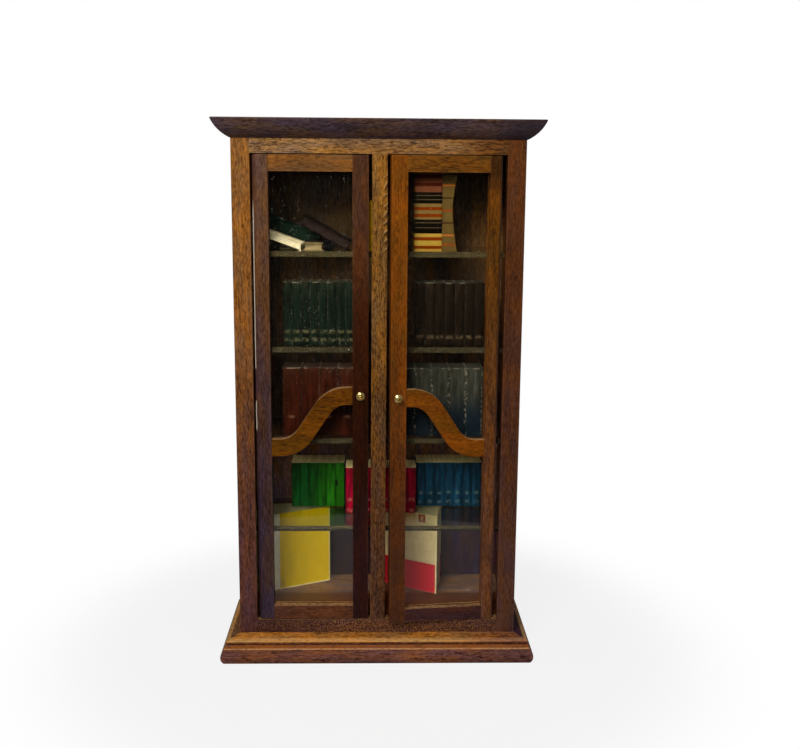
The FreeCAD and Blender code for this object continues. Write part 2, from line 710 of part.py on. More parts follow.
def make_standing_book(name, bay, spine, edge, thickness, height):
    """A book on its foot, with one cover running from the spine's corner to the fore-edge's."""
    foot, clear = BAYS[bay]
    start_x, start_y = across(spine[0]), back(spine[1])
    run, rise = f"({across(edge[0])} - {start_x})", f"({back(edge[1])} - {start_y})"
    body = new_body(name, start_x, start_y, foot)
    turn = math.degrees(math.atan2(number(rise), number(run)))
    body.Placement.Rotation = FreeCAD.Rotation(V(0, 0, 1), turn)
    width = f"sqrt({run} * {run} + {rise} * {rise})"
    add_book(body, name, width, f"({thickness} * {clear})", f"{height} * {clear}")
    return body


def add_wrapper_edge(body, share):
    """The edge of the loose wrapper, turned out beside the spine and curling at the top."""
    height = f"({share} * {BAYS['top'][1]})"
    flap = outline(body, "YZ_Plane", "wrapper_edge", ("0", "0"),
                   [("-flap_foot_width", "0"),
                    ("-flap_waist_width", f"{WAIST_SHARE} * {height}"),
                    ("-flap_curl_width", f"{CURL_SHARE} * {height}", "-flap_top_width", height),
                    ("0", height), ("0", "0")], lift="cover_thickness")
    pad(body, flap, "cover_thickness")


# A book on its cover with its spine to the back: X to the front, Y up, Z to the left
LYING = FreeCAD.Rotation(V(0, -1, 0), V(0, 0, 1), V(-1, 0, 0), "XYZ")


def make_lying_book(name, right, front, rear, length, thickness, tilt):
    """A book on its cover, with its left end raised by tilt about its lower right edge."""
    foot, clear = BAYS["top"]
    spine = f"({back(rear)} - spine_round)"
    body = new_body(name, right, spine, foot)
    body.Placement.Rotation = FreeCAD.Rotation(V(0, 1, 0), tilt) * LYING
    add_book(body, name, f"({spine} - {back(front)})", f"({thickness} * {clear})", length)


def make_fallen_books():
    """Three flat books, two that lean on the left side, and one that leans on a flat one."""
    clear = BAYS["top"][1]
    for name, left, right, front, rear, thickness in FLAT_SHARES:
        make_lying_book(name, across(right), front, rear, f"({across(right)} - {across(left)})",
                        thickness, 0)
    cream, green, burgundy = LEANING_SHARES
    for (name, right, front, rear, thickness), tilt in ((cream, "cream_tilt"), (green, "green_tilt")):
        reach = f"({across(right)} + {HALF_INSIDE} - book_play)"
        make_lying_book(name, across(right), front, rear, f"{reach} / cos({tilt})", thickness,
                        number(tilt))
    name, right, front, rear, thickness = burgundy
    navy = FLAT_SHARES[2]
    rise = f"({navy[5]} * {clear} + joint_play)"
    run = f"({across(right)} - {across(navy[2])})"
    make_lying_book(name, across(right), front, rear, f"{BURGUNDY_LENGTH_SHARE} * {clear}",
                    thickness, math.degrees(math.atan2(number(rise), number(run))))


def make_books():
    for row in SET_SHARES:
        make_book_set(*row)
    for row in STANDING_SHARES:
        body = make_standing_book(*row)
    add_wrapper_edge(body, STANDING_SHARES[-1][-1])
    make_fallen_books()


make_carcass()
make_face_frame()
make_hinge_pins()
make_mouldings()
make_doors()
make_books()
doc.recompute()

# Nothing is written unless every object and every shape is sound
faults = [thing.Label for thing in doc.Objects if {"Invalid", "Error"} & set(thing.State)]
faults += [part.Label for part in parts if part.Shape.isNull() or not part.Shape.isValid()]
if faults:
    raise RuntimeError(f"Unsound: {faults}")

os.makedirs("parts", exist_ok=True)
for part in parts:
    part.Shape.exportStep(f"parts/{part.Label}.step")
print(f"{len(parts)} parts written")
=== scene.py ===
# %% [markdown]
# # A glazed book cabinet, eighteen centimetres high
# The real thing is a twelfth-scale cabinet of stained hardwood. It has two glazed doors with
# a curved bar across each pane, four clear shelves, and rows of tiny books. The shapes of the
# carpentry come from the CAD model, so this lesson starts by loading it. Everything is in
# metres, and every piece stays where the CAD model puts it.

# %% Load the carpentry
import math

import bpy
import numpy as np
from mathutils import Matrix, Quaternion, Vector


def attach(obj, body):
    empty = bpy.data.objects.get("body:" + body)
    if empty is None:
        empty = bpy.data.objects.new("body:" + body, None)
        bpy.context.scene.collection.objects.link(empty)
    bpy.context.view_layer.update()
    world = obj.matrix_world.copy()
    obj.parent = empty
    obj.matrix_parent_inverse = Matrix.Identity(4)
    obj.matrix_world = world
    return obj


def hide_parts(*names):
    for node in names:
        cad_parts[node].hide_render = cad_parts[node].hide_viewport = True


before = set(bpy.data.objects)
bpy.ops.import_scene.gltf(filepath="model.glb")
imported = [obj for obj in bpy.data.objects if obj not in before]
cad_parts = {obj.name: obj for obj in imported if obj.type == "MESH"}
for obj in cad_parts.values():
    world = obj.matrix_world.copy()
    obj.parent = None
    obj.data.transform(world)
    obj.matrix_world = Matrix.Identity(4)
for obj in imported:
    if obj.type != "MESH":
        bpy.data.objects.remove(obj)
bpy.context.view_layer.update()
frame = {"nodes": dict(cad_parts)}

scene, nodes = bpy.context.scene, frame["nodes"]

# %% [markdown]
# ## The camera
# The edges of the posts, rails and shelves in the photograph were used to work the camera
# out. It stands a third of a metre away, a little above the cabinet, and looks down by ten
# degrees. The lens number is for a picture 36 mm wide.

# %% Place the camera
CAMERA_PLACE = (-0.00120, -0.35207, 0.15943)
LOOK_DOWN, LOOK_RIGHT, ROLL = (math.radians(angle) for angle in (10.252, 1.421, -0.425))
LENS, FILM_WIDTH = 46.8, 36.0
NEAREST, FARTHEST = 0.01, 10.0


def add_camera():
    """Looks along (sin r cos d, cos r cos d, -sin d), then rolls about that line."""
    ahead = Vector((math.sin(LOOK_RIGHT) * math.cos(LOOK_DOWN),
                    math.cos(LOOK_RIGHT) * math.cos(LOOK_DOWN), -math.sin(LOOK_DOWN)))
    level = Vector((math.cos(LOOK_RIGHT), -math.sin(LOOK_RIGHT), 0.0))
    down = ahead.cross(level)
    side = math.cos(ROLL) * level + math.sin(ROLL) * down
    below = -math.sin(ROLL) * level + math.cos(ROLL) * down
    lens = bpy.data.cameras.new("camera")
    lens.lens, lens.sensor_width = LENS, FILM_WIDTH
    lens.clip_start, lens.clip_end = NEAREST, FARTHEST
    camera = bpy.data.objects.new("camera", lens)
    turn = Matrix((side, -below, -ahead)).transposed()
    camera.matrix_world = Matrix.Translation(CAMERA_PLACE) @ turn.to_4x4()
    scene.collection.objects.link(camera)
    scene.camera = camera
    print(f"camera looks along {tuple(round(part, 3) for part in ahead)}")


add_camera()

# %% [markdown]
# ## Wiring shader nodes with few words
# A material is a small network, and written out in full each node takes several lines. This
# helper takes a plain number or another socket for each input, and sets it or links it.
# Colours are written as they look on a screen, from 0 to 255.

# %% A helper for shader networks
MM = 0.001


def ink(red, green, blue):
    """Screen colour to light: c/12.92 below 0.04045, otherwise ((c + 0.055)/1.055)^2.4."""
    parts = np.array((red, green, blue)) / 255
    light = np.where(parts < 0.04045, parts / 12.92, ((parts + 0.055) / 1.055) ** 2.4)
    return (*light.tolist(), 1.0)


class Wiring:
    """Adds nodes to one shader tree and returns the sockets that later nodes need."""

    def __init__(self, tree):
        self.tree = tree

    def add(self, kind, inputs=(), **settings):
        """A new node: settings are its own properties, inputs its sockets by name or number."""
        node = self.tree.nodes.new(f"ShaderNode{kind}")
        for name, value in settings.items():
            setattr(node, name, value)
        for key, value in dict(inputs).items():
            self.give(node.inputs[key], value)
        return node

    def give(self, socket, value):
        """Links another socket, or sets a plain value."""
        if isinstance(value, bpy.types.NodeSocket):
            self.tree.links.new(value, socket)
        else:
            socket.default_value = value[:3] if socket.type == "VECTOR" else value

    def sum(self, operation, *values, clamp=False):
        """One step of arithmetic on numbers."""
        return self.add("Math", enumerate(values), operation=operation, use_clamp=clamp).outputs[0]

    def times(self, first, *others):
        """first times each of the others in turn."""
        for other in others:
            first = self.sum("MULTIPLY", first, other)
        return first

    def away(self, value, middle):
        """How far a value is from a middle: |value - middle|."""
        return self.sum("ABSOLUTE", self.sum("SUBTRACT", value, middle))

    def arrow(self, operation, *values):
        """One step of arithmetic on (x, y, z) arrows."""
        node = self.add("VectorMath", operation=operation)
        for index, value in enumerate(values):
            self.give(node.inputs["Scale" if operation == "SCALE" and index else index], value)
        return node.outputs["Value" if operation in ("LENGTH", "DOT_PRODUCT") else "Vector"]

    def parts(self, vector):
        """The x, y and z of an arrow."""
        return self.add("SeparateXYZ", {0: vector}).outputs

    def noise(self, vector, scale, detail=2.0, roughness=0.5, distortion=0.0):
        """Soft random values around 0.5, with about as many swings to a unit as scale says."""
        return self.add("TexNoise", {"Vector": vector, "Scale": scale, "Detail": detail,
                                     "Roughness": roughness, "Distortion": distortion}).outputs[0]

    def ease(self, value, start, end, low=0.0, high=1.0):
        """Runs smoothly from low to high while value runs from start to end."""
        return self.add("MapRange", {0: value, 1: start, 2: end, 3: low, 4: high},
                        interpolation_type="SMOOTHSTEP").outputs[0]

    def between(self, value, start, end, soft):
        """1 from start to end, with borders that fade over a soft width on either side."""
        return self.times(self.ease(value, start - soft, start + soft),
                          self.ease(value, end + soft, end - soft))

    def blend(self, share, first, second):
        """(1 - share) first + share second, for colours."""
        return self.add("Mix", {0: share, 6: first, 7: second}, data_type="RGBA").outputs[2]

    def tint(self, share, colour, factors):
        """Moves a colour by a share towards the same colour times three factors."""
        return self.blend(share, colour, self.arrow("MULTIPLY", colour, factors))

    def mix(self, share, first, second):
        """(1 - share) first + share second, for shaders."""
        return self.add("MixShader", {0: share, 1: first, 2: second}).outputs[0]

    def close(self, shader, kind="OUTPUT_MATERIAL"):
        """Feeds a shader to the output node of a material or a world."""
        output = next(node for node in self.tree.nodes if node.type == kind)
        self.give(output.inputs["Surface"], shader)

    def feed(self, shader, **values):
        """Sets or links the shader's own sockets: base_color is the one named Base Color."""
        for word, value in values.items():
            self.give(shader.inputs[word.replace("_", " ").title().replace("Ior", "IOR")], value)

    def effect(self, group, inputs):
        """One use of a node group that was made before."""
        return self.add("Group", inputs, node_tree=group).outputs

    def bump(self, height, distance, strength=1.0):
        """A normal that tilts as a height would, with the distance in millimetres."""
        return self.add("Bump", {"Height": height, "Distance": distance * MM,
                                 "Strength": strength}).outputs[0]


print(f"screen grey 128 is {ink(128, 128, 128)[0]:.3f} of full light")

# %% [markdown]
# ### Starting an effect or a finish
# What several materials share is built once, as a node group. It gives only colours, masks
# and heights, and each material keeps its own shader. Patterns use the piece's own place in
# millimetres, measured from where its door hangs, so that they turn with the door.

# %% Ways to start an effect and a finish
def new_effect(name, outputs, vectors, colours=(), **floats):
    """A shader node group. Outputs are floats except for Color; floats have plain values."""
    group = bpy.data.node_groups.new(name, "ShaderNodeTree")
    for way, kind, words in (("INPUT", "Vector", vectors), ("INPUT", "Color", colours),
                             ("INPUT", "Float", floats), ("OUTPUT", "Float", outputs)):
        for word in words:
            socket = group.interface.new_socket(
                word.replace("_", " "), in_out=way,
                socket_type=f"NodeSocket{'Color' if word == 'Color' else kind}")
            if word in floats:
                socket.default_value = floats[word]
    wiring = Wiring(group)
    given = group.nodes.new("NodeGroupInput").outputs
    result = group.nodes.new("NodeGroupOutput").inputs
    return group, wiring, given, result


def new_finish(name, **plain):
    """A material with one Principled shader. Plain values are set on the shader's own sockets."""
    material = bpy.data.materials.new(name)
    material.use_nodes = True
    wiring = Wiring(material.node_tree)
    shader = next(node for node in material.node_tree.nodes if node.type == "BSDF_PRINCIPLED")
    wiring.feed(shader, **plain)
    return material, wiring, shader


def place_mm(wiring, pivot=(0.0, 0.0, 0.0), turn=(0.0, 0.0, 0.0)):
    """Millimetres from the pivot, along axes that turn with the piece: R^-1 (p - pivot)."""
    spot = wiring.add("TexCoord").outputs["Object"]
    turned = wiring.add("Mapping", {"Vector": spot, "Location": pivot, "Rotation": turn},
                        vector_type="TEXTURE").outputs[0]
    return wiring.arrow("SCALE", turned, 1 / MM)


print("ready to make effects and finishes")

# %% [markdown]
# ## Stained wood
# The cabinet is an open-grained hardwood under a brown stain and a thin lacquer. Close up it
# shows long soft streaks, short dark pores and cloudy stain, and all three are noise that is
# stretched along the grain. One group makes them, so that each board only needs its own
# colour, its grain direction and its own place in the noise.

# %% The wood effect
# how far the noise is squeezed along the grain: for the streaks, and for the short pores
ALONG = {"x": (0.10, 1.0, 1.0), "y": (1.0, 0.10, 1.0), "z": (1.0, 1.0, 0.10)}
DASH = {"x": (0.24, 1.0, 1.0), "y": (1.0, 0.24, 1.0), "z": (1.0, 1.0, 0.24)}
FIBRE_SWING, STREAK_SWING, CLOUD_SWING = 4.6, 2.2, 2.0
PALE_WOOD, DARK_WOOD, PORE_WOOD = (1.75, 1.66, 1.50), (0.40, 0.34, 0.34), (0.24, 0.18, 0.20)
WARM_DRIFT, COOL_DRIFT = (1.22, 1.08, 0.62), (0.80, 0.88, 1.26)


def make_wood_effect():
    """tone = 1/2 + figure (a fibre + b streak + c cloud), each less 1/2; dark to pale by tone."""
    group, w, given, result = new_effect(
        "stained_wood", ("Color", "Height", "Roughness"), ("Vector", "Along", "Dash", "Seed"),
        ("Body", "Fleck"), Figure=1.0, Pores=0.5, Pore_Scale=2.6, Mottle=0.0)
    spot = w.arrow("ADD", given["Vector"], given["Seed"])
    streak = w.noise(w.arrow("MULTIPLY", spot, given["Along"]), 1.5, 4.0, 0.62, 0.3)
    short = w.arrow("MULTIPLY", spot, given["Dash"])
    fibre = w.noise(short, 2.3, 3.0, 0.66)
    cloud = w.noise(short, 0.17, 3.0, 0.6)
    swing = w.sum("MULTIPLY_ADD", w.sum("SUBTRACT", fibre, 0.5), FIBRE_SWING,
                  w.times(w.sum("SUBTRACT", streak, 0.5), STREAK_SWING))
    swing = w.sum("MULTIPLY_ADD", w.sum("SUBTRACT", cloud, 0.5), CLOUD_SWING, swing)
    tone = w.sum("MULTIPLY_ADD", swing, given["Figure"], 0.5, clamp=True)
    colour = w.blend(tone, w.arrow("MULTIPLY", given["Body"], DARK_WOOD),
                     w.arrow("MULTIPLY", given["Body"], PALE_WOOD))
    drift = w.noise(w.arrow("ADD", short, (31.0, 17.0, 5.0)), 0.28, 2.0)
    colour = w.blend(w.ease(drift, 0.3, 0.7), w.arrow("MULTIPLY", colour, WARM_DRIFT),
                     w.arrow("MULTIPLY", colour, COOL_DRIFT))
    dashes = w.noise(short, given["Pore Scale"], 3.0, 0.6)
    pore = w.times(w.ease(dashes, 0.57, 0.66), given["Pores"])
    colour = w.blend(pore, colour, w.arrow("MULTIPLY", given["Body"], PORE_WOOD))
    fleck = w.times(w.ease(w.noise(spot, 3.6, 2.0, 0.6), 0.52, 0.59), given["Mottle"])
    colour = w.blend(fleck, colour, given["Fleck"])
    w.give(result["Color"], colour)
    w.give(result["Height"], w.sum("MULTIPLY_ADD", pore, -0.8, w.times(fibre, 0.6)))
    w.give(result["Roughness"], w.sum("MULTIPLY_ADD", pore, 0.25,
                                      w.ease(fibre, 0.3, 0.7, 0.34, 0.50)))
    return group


# worn edges, which also stand for a painted highlight where light catches an edge
def make_wear_and_highlight_effect():
    """Distance to the nearest edge of a box: the middle one of the distances to its faces."""
    group, w, given, result = new_effect("edge_wear_and_highlight", ("Mask",), ("Vector", "Low", "High"),
                                         Width=0.4)
    inside = w.arrow("MINIMUM", w.arrow("SUBTRACT", given["Vector"], given["Low"]),
                     w.arrow("SUBTRACT", given["High"], given["Vector"]))
    x, y, z = w.parts(inside)
    middle = w.sum("MAXIMUM", w.sum("MINIMUM", x, y),
                   w.sum("MINIMUM", w.sum("MAXIMUM", x, y), z))
    rub = w.noise(given["Vector"], 0.35, 4.0, 0.7)
    reach = w.times(given["Width"], w.ease(rub, 0.38, 0.72, 0.15, 1.5))
    w.give(result["Mask"], w.sum("SUBTRACT", 1.0, w.sum("DIVIDE", middle, reach), clamp=True))
    return group


def make_ledge_dust_and_highlight_effect():
    """Dust and a painted highlight lie where a surface looks up: 1 where the normal's z is high,
    broken by noise.
    """
    group, w, given, result = new_effect("ledge_dust_and_highlight", ("Mask",), ("Vector", "Normal"))
    up = w.ease(w.parts(given["Normal"])[2], 0.30, 0.85)
    broken = w.ease(w.noise(given["Vector"], 0.8, 4.0, 0.65), 0.36, 0.62, 0.25, 1.0)
    w.give(result["Mask"], w.times(up, broken))
    return group


WOOD, WEAR_AND_HIGHLIGHT, LEDGE_AND_HIGHLIGHT = make_wood_effect(), make_wear_and_highlight_effect(), make_ledge_dust_and_highlight_effect()
print("wood, wear and ledge effects made")

# %% [markdown]
# ## Every board has its own colour
# The stain took differently on each piece: the right door's free stile is orange, the left
# door's stiles are a purple brown, the crown is nearly black. Some boards fade from their
# head to their foot, which is painted shade for light that falls off downwards. A table is
# easier to compare with the real cabinet than thirty separate materials.

# %% Write the boards' colours down
# node, grain, figure, pores, edge wear with a painted edge highlight, colour at the head, and at
# the foot where painted shade fades it
BOARDS = (
    ("front_post_left", "z", 0.55, 0.45, 0.8, (128, 85, 40), (80, 48, 46)),
    ("front_post_right", "z", 0.45, 0.45, 0.8, (84, 47, 24), (76, 48, 41)),
    ("top_rail", "x", 0.75, 0.85, 0.5, (123, 90, 54)),
    ("bottom_rail", "x", 0.6, 0.6, 0.3, (44, 25, 34)),
    ("centre_mullion", "z", 0.75, 1.0, 0.9, (121, 86, 39), (82, 53, 38)),
    ("crown_front", "x", 0.75, 0.7, 0.2, (71, 55, 57)),
    ("crown_left", "y", 0.75, 0.7, 0.2, (59, 48, 57)),
    ("crown_right", "y", 0.75, 0.7, 0.2, (37, 39, 63)),
    ("base_cap_front", "x", 0.7, 0.6, 0.4, (160, 108, 51)),
    ("base_cap_left", "y", 0.7, 0.6, 0.4, (125, 85, 51)),
    ("base_cap_right", "y", 0.7, 0.6, 0.4, (58, 33, 57)),
    ("plinth_front", "x", 0.5, 0.9, 0.6, (109, 70, 59)),
    ("plinth_left", "y", 0.5, 0.9, 0.6, (134, 104, 83)),
    ("plinth_right", "y", 0.5, 0.9, 0.6, (93, 55, 66)),
    ("top_board", "x", 0.6, 0.7, 0.5, (96, 60, 40)),
    ("base_board", "x", 0.6, 0.7, 0.5, (100, 64, 42)),
    ("side_panel_left", "z", 0.6, 0.6, 0.5, (92, 52, 32), (80, 46, 32)),
    ("side_panel_right", "z", 0.6, 0.6, 0.5, (92, 52, 32), (80, 46, 32)),
    ("back_panel", "z", 0.5, 0.4, 0.3, (83, 61, 37), (37, 25, 39)),
    ("floor_board", "x", 0.5, 0.5, 0.3, (118, 92, 78)),
    ("door_left_outer_stile", "z", 0.45, 0.5, 0.8, (87, 60, 46), (56, 41, 53)),
    ("door_left_inner_stile", "z", 0.45, 0.5, 0.8, (71, 40, 24), (38, 8, 16)),
    ("door_left_top_rail", "x", 0.5, 0.4, 0.8, (109, 71, 33)),
    ("door_left_bottom_rail", "x", 0.5, 0.6, 0.8, (76, 45, 37)),
    ("door_left_curved_bar", "x", 0.5, 0.5, 0.0, (95, 56, 3)),
    ("door_right_outer_stile", "z", 0.6, 0.5, 0.8, (92, 54, 6), (94, 58, 40)),
    ("door_right_inner_stile", "z", 0.45, 0.45, 0.6, (118, 65, 3), (70, 37, 20)),
    ("door_right_top_rail", "x", 0.5, 0.5, 0.8, (100, 63, 15)),
    ("door_right_bottom_rail", "x", 0.5, 0.7, 0.9, (58, 31, 34)),
    ("door_right_curved_bar", "x", 0.5, 0.5, 0.0, (107, 59, 3)),
)
# painted shade: heights in mm over which a board's colour runs from its foot colour to its head
# colour
PAINTED_SHADE_FOOT, PAINTED_SHADE_HEAD = 25.0, 150.0
ORANGE_FLECK, LEDGE_DUST_AND_HIGHLIGHT = ink(178, 116, 66), ink(204, 156, 102)
# dust and painted highlight on the faces that look up; on the curved bars it is the light caught by
# the top edge
DUSTY_AND_LIT = {"door_left_curved_bar": 0.8, "door_right_curved_bar": 0.8, "door_left_bottom_rail": 0.6,
         "door_right_bottom_rail": 0.6, "bottom_rail": 0.5}
# heights from and to, colour and strength of the lines that follow a moulding: painted shade in the
# plinth's groove and under the bead, the orange of the plinth's ledge, and painted highlights on
# the plinth's edge and on the bead
MOULDING_LIGHT_AND_SHADE = {
    "plinth": ((6.25, 6.9, (44, 22, 18), 0.85), (5.35, 6.25, (150, 84, 32), 0.8),
               (4.95, 5.35, (214, 158, 104), 0.7)),
    "base_cap": ((6.3, 7.35, (104, 58, 42), 0.85), (7.45, 8.15, (226, 176, 112), 0.6))}
print(f"{len(BOARDS)} boards have a colour")

# %% [markdown]
# ## Measuring and rounding a board
# The wear effect, with its painted highlight along the edges, needs the board's own box, and
# for the right door, which rests ajar, that box is measured after turning the door shut. Real
# boards also have soft edges, which catch the light. The CAD meshes are loose triangles with
# sharp edges, so modifiers weld them, join the flat parts and round the rest. A modifier
# leaves the mesh itself as it was.

# %% Boxes, rounded edges and a way to dress a piece
LEFT_PIVOT, RIGHT_PIVOT = (-0.0383, -0.015075, 0.0), (0.0383, -0.015075, 0.0)
RIGHT_TURN = math.radians(6.5)
DOORS = (("left", LEFT_PIVOT, 0.0), ("right", RIGHT_PIVOT, RIGHT_TURN))
EDGE_ROUND, WELD_REACH = 0.22, 1e-6
FLAT_ANGLE, SHARP_ANGLE = math.radians(0.5), math.radians(35)


def own_box(node, pivot=(0.0, 0.0, 0.0), turn=0.0):
    """Lowest and highest corner in mm, with the points turned by -turn about the pivot."""
    points = np.empty(len(node.data.vertices) * 3, np.float32)
    node.data.vertices.foreach_get("co", points)
    points = points.reshape(-1, 3) - pivot
    c, s = math.cos(turn), math.sin(turn)
    points = points @ np.array(((c, -s, 0), (s, c, 0), (0, 0, 1)))
    return points.min(0) / MM, points.max(0) / MM


def soften(node):
    """Welds the loose triangles, joins what is flat, and rounds the edges that are left."""
    node.modifiers.new("weld", "WELD").merge_threshold = WELD_REACH
    flat = node.modifiers.new("flat", "DECIMATE")
    flat.decimate_type, flat.angle_limit = "DISSOLVE", FLAT_ANGLE
    edge = node.modifiers.new("edge", "BEVEL")
    edge.width, edge.segments, edge.limit_method = EDGE_ROUND * MM, 2, "ANGLE"
    edge.angle_limit, edge.use_clamp_overlap = SHARP_ANGLE, True
    node.modifiers.new("shade", "WEIGHTED_NORMAL").keep_sharp = False


def dress(piece, material):
    """Gives a piece this finish alone."""
    piece.data.materials.clear()
    piece.data.materials.append(material)


print("left side panel runs to", own_box(nodes["side_panel_left"])[1].round(2), "mm")

# %% [markdown]
# ## Marks that only one board has
# A stain that was wiped on by hand is never even. The top rail, the crown and the base cap are
# darker towards their right end, the left door's inner stile along its middle, and the mullion
# has a row of chatter marks from a plane along its right edge. Some marks are painted light and
# shade: the back wall is painted paler behind the lower books and darker low in the top bay,
# the front of the floor behind the bottom rail is painted shade, and on the outer stiles of
# both doors a pale painted highlight runs along the rounded edge. Each mark is a mask, made of
# slopes along x, y or z, and a colour or a factor that the mask lets in. The plain ones fit in
# a table.

# %% Marks of single boards
CHATTER_PITCH = 2.9
WALL_FACE = float(own_box(nodes["back_panel"])[0][1])
INNER_FACE = ("y", WALL_FACE + 0.6, WALL_FACE + 0.3)
# board, slopes (axis, from, to, low, high), and the factors that their product lets in
TINTS_AND_PAINTED_LIGHT = (
    # painted light: the back wall is paler behind the lower books, where the rows shade it
    ("back_panel", (("z", 40.0, 44.0), ("z", 74.0, 68.0), INNER_FACE), (6.2, 6.4, 4.8)),
    # painted light: paler still at the right of the lowest bay
    ("back_panel", (("z", 44.0, 40.0), ("x", 8.0, 20.0), INNER_FACE), (1.9, 1.8, 2.1)),
    # painted shade: darker low in the top bay, at its left
    ("back_panel", (("z", 160.0, 148.0), ("z", 132.0, 138.0), INNER_FACE, ("x", 4.0, -2.0)),
     (0.50, 0.55, 0.60)),
    ("top_rail", (("x", 20.0, 36.0),), (0.62, 0.46, 0.30)),
    ("top_rail", (("x", -14.0, -26.0),), (1.2, 1.35, 1.8)),
    ("base_cap_front", (("x", 22.0, 44.0),), (0.62, 0.55, 0.88)),
    ("door_left_inner_stile", (("z", 140.0, 115.0), ("z", 40.0, 70.0)), (0.56, 0.36, 0.22)))
# board, slope and the colour that it lets in: painted shade, dark orange, at the front of the
# floor, blue black to the right
# painted shade: the front of the floor darkens where the bottom rail shades it
OVERLAID_AND_SHADED = {"floor_board": (("y", 5.0, 2.0, 0.0, 0.95), (84, 40, 0)),
            "crown_front": (("x", 34.0, 46.0, 0.0, 0.6), (34, 31, 46))}


def slopes_mask(w, spot, slopes):
    """The product of soft slopes along x, y or z."""
    axes = dict(zip("xyz", w.parts(spot)))
    return w.times(*(w.ease(axes[axis], *ends) for axis, *ends in slopes))


def mark_mullion(w, spot, colour):
    """Slanting strokes near the right edge: beat = the fraction of (z - x) / pitch + noise."""
    x, _, z = w.parts(spot)
    slant = w.sum("DIVIDE", w.sum("SUBTRACT", z, x), CHATTER_PITCH)
    beat = w.sum("FRACT", w.sum("ADD", slant, w.noise(spot, 0.5, 2.0)))
    stroke = w.ease(w.away(beat, 0.5), 0.20, 0.08)
    flake = w.ease(w.away(beat, 0.75), 0.16, 0.06)
    edge = w.times(w.ease(x, 1.2, 2.2), w.times(w.ease(z, 134.0, 142.0), w.ease(z, 166.0, 160.0)))
    colour = w.blend(w.times(flake, edge, 0.6), colour, ink(196, 156, 96))
    return w.blend(w.times(stroke, edge, 0.85), colour, ink(58, 36, 18))


def mark_right_outer_and_highlight(w, spot, colour):
    """Browner above a ragged line, and a pale painted highlight on the rounding beside the hinge.
    """
    x, _, z = w.parts(spot)
    upper = w.ease(w.sum("ADD", z, w.noise(spot, 0.6, 2.0)), 158.0, 159.5)
    colour = w.tint(upper, colour, (0.56, 0.52, 1.1))
    # painted highlight on the rounding beyond the hinge
    return w.blend(w.ease(x, 0.2, 0.5, 0.0, 0.6), colour, ink(104, 82, 74))


def paint_left_outer_highlight(w, spot, colour):
    """A painted highlight: a thin pale strip along the rounded outer edge, with one break in it."""
    x, _, z = w.parts(spot)
    outer_edge = own_box(nodes["door_left_outer_stile"])[0][0]
    strip = w.ease(x, outer_edge + 0.5, outer_edge + 0.35)
    run = w.times(w.ease(z, 156.0, 150.0), w.ease(z, 79.0, 80.5))
    gap = w.times(w.ease(z, 101.0, 100.0), w.ease(z, 89.0, 90.0))
    painted_highlight = w.times(strip, run, w.sum("SUBTRACT", 1.0, gap))
    return w.blend(painted_highlight, colour, ink(236, 228, 212))


OWN_MARKS = {"centre_mullion": mark_mullion, "door_left_outer_stile": paint_left_outer_highlight,
             "door_right_outer_stile": mark_right_outer_and_highlight}


def mark_board(w, spot, name, colour):
    """Tints and overlays from the tables, then the board's own strokes."""
    for board, slopes, factors in TINTS_AND_PAINTED_LIGHT:
        if board == name:
            colour = w.tint(slopes_mask(w, spot, slopes), colour, factors)
    if name in OVERLAID_AND_SHADED:
        slope, shade = OVERLAID_AND_SHADED[name]
        colour = w.blend(slopes_mask(w, spot, (slope,)), colour, ink(*shade))
    if name in OWN_MARKS:
        colour = OWN_MARKS[name](w, spot, colour)
    return colour


print(f"marks ready for {len({row[0] for row in TINTS_AND_PAINTED_LIGHT} | {*OVERLAID_AND_SHADED, *OWN_MARKS})} boards")

# %% [markdown]
# ## Staining the boards
# A finish starts from the wood effect and adds layers: worn edges with a painted highlight
# along them, dust with a painted highlight on the faces that look up, painted light and shade
# along a moulding, and the board's own marks. The gloss is tinted warm, because the real
# lacquer has yellowed, and the mouldings are matt.

# %% Stain every board
WARM_GLOSS = (1.0, 0.72, 0.36, 1.0)
WORN_AND_LIT_GAIN, WORN_AND_LIT_LIFT = (1.7, 1.7, 1.7), (0.05, 0.03, 0.015)
WEAR_AND_HIGHLIGHT_WIDTH, WEAR_AND_HIGHLIGHT_SHARE = 0.5, 0.6
LONG_PORES, SHORT_PORES = 1.3, 2.6


def speckle_share(w, spot):
    """Faint at the left end, strongest beside the middle, and fading to the right."""
    x = w.parts(spot)[0]
    return w.times(w.ease(x, -36.0, -14.0, 0.35, 0.8), w.ease(x, 12.0, 40.0, 1.0, 0.8))


def paint_moulding_light_and_shade(w, spot, colour, lines):
    """Painted shade and highlights: stripes between two heights, broken up by noise."""
    broken = w.ease(w.noise(spot, 0.9, 4.0, 0.7), 0.32, 0.58, 0.35, 1.0)
    height = w.parts(spot)[2]
    for start, end, tint, strength in lines:
        share = w.times(w.between(height, start, end, 0.1), strength, broken)
        colour = w.blend(share, colour, ink(*tint))
    return colour


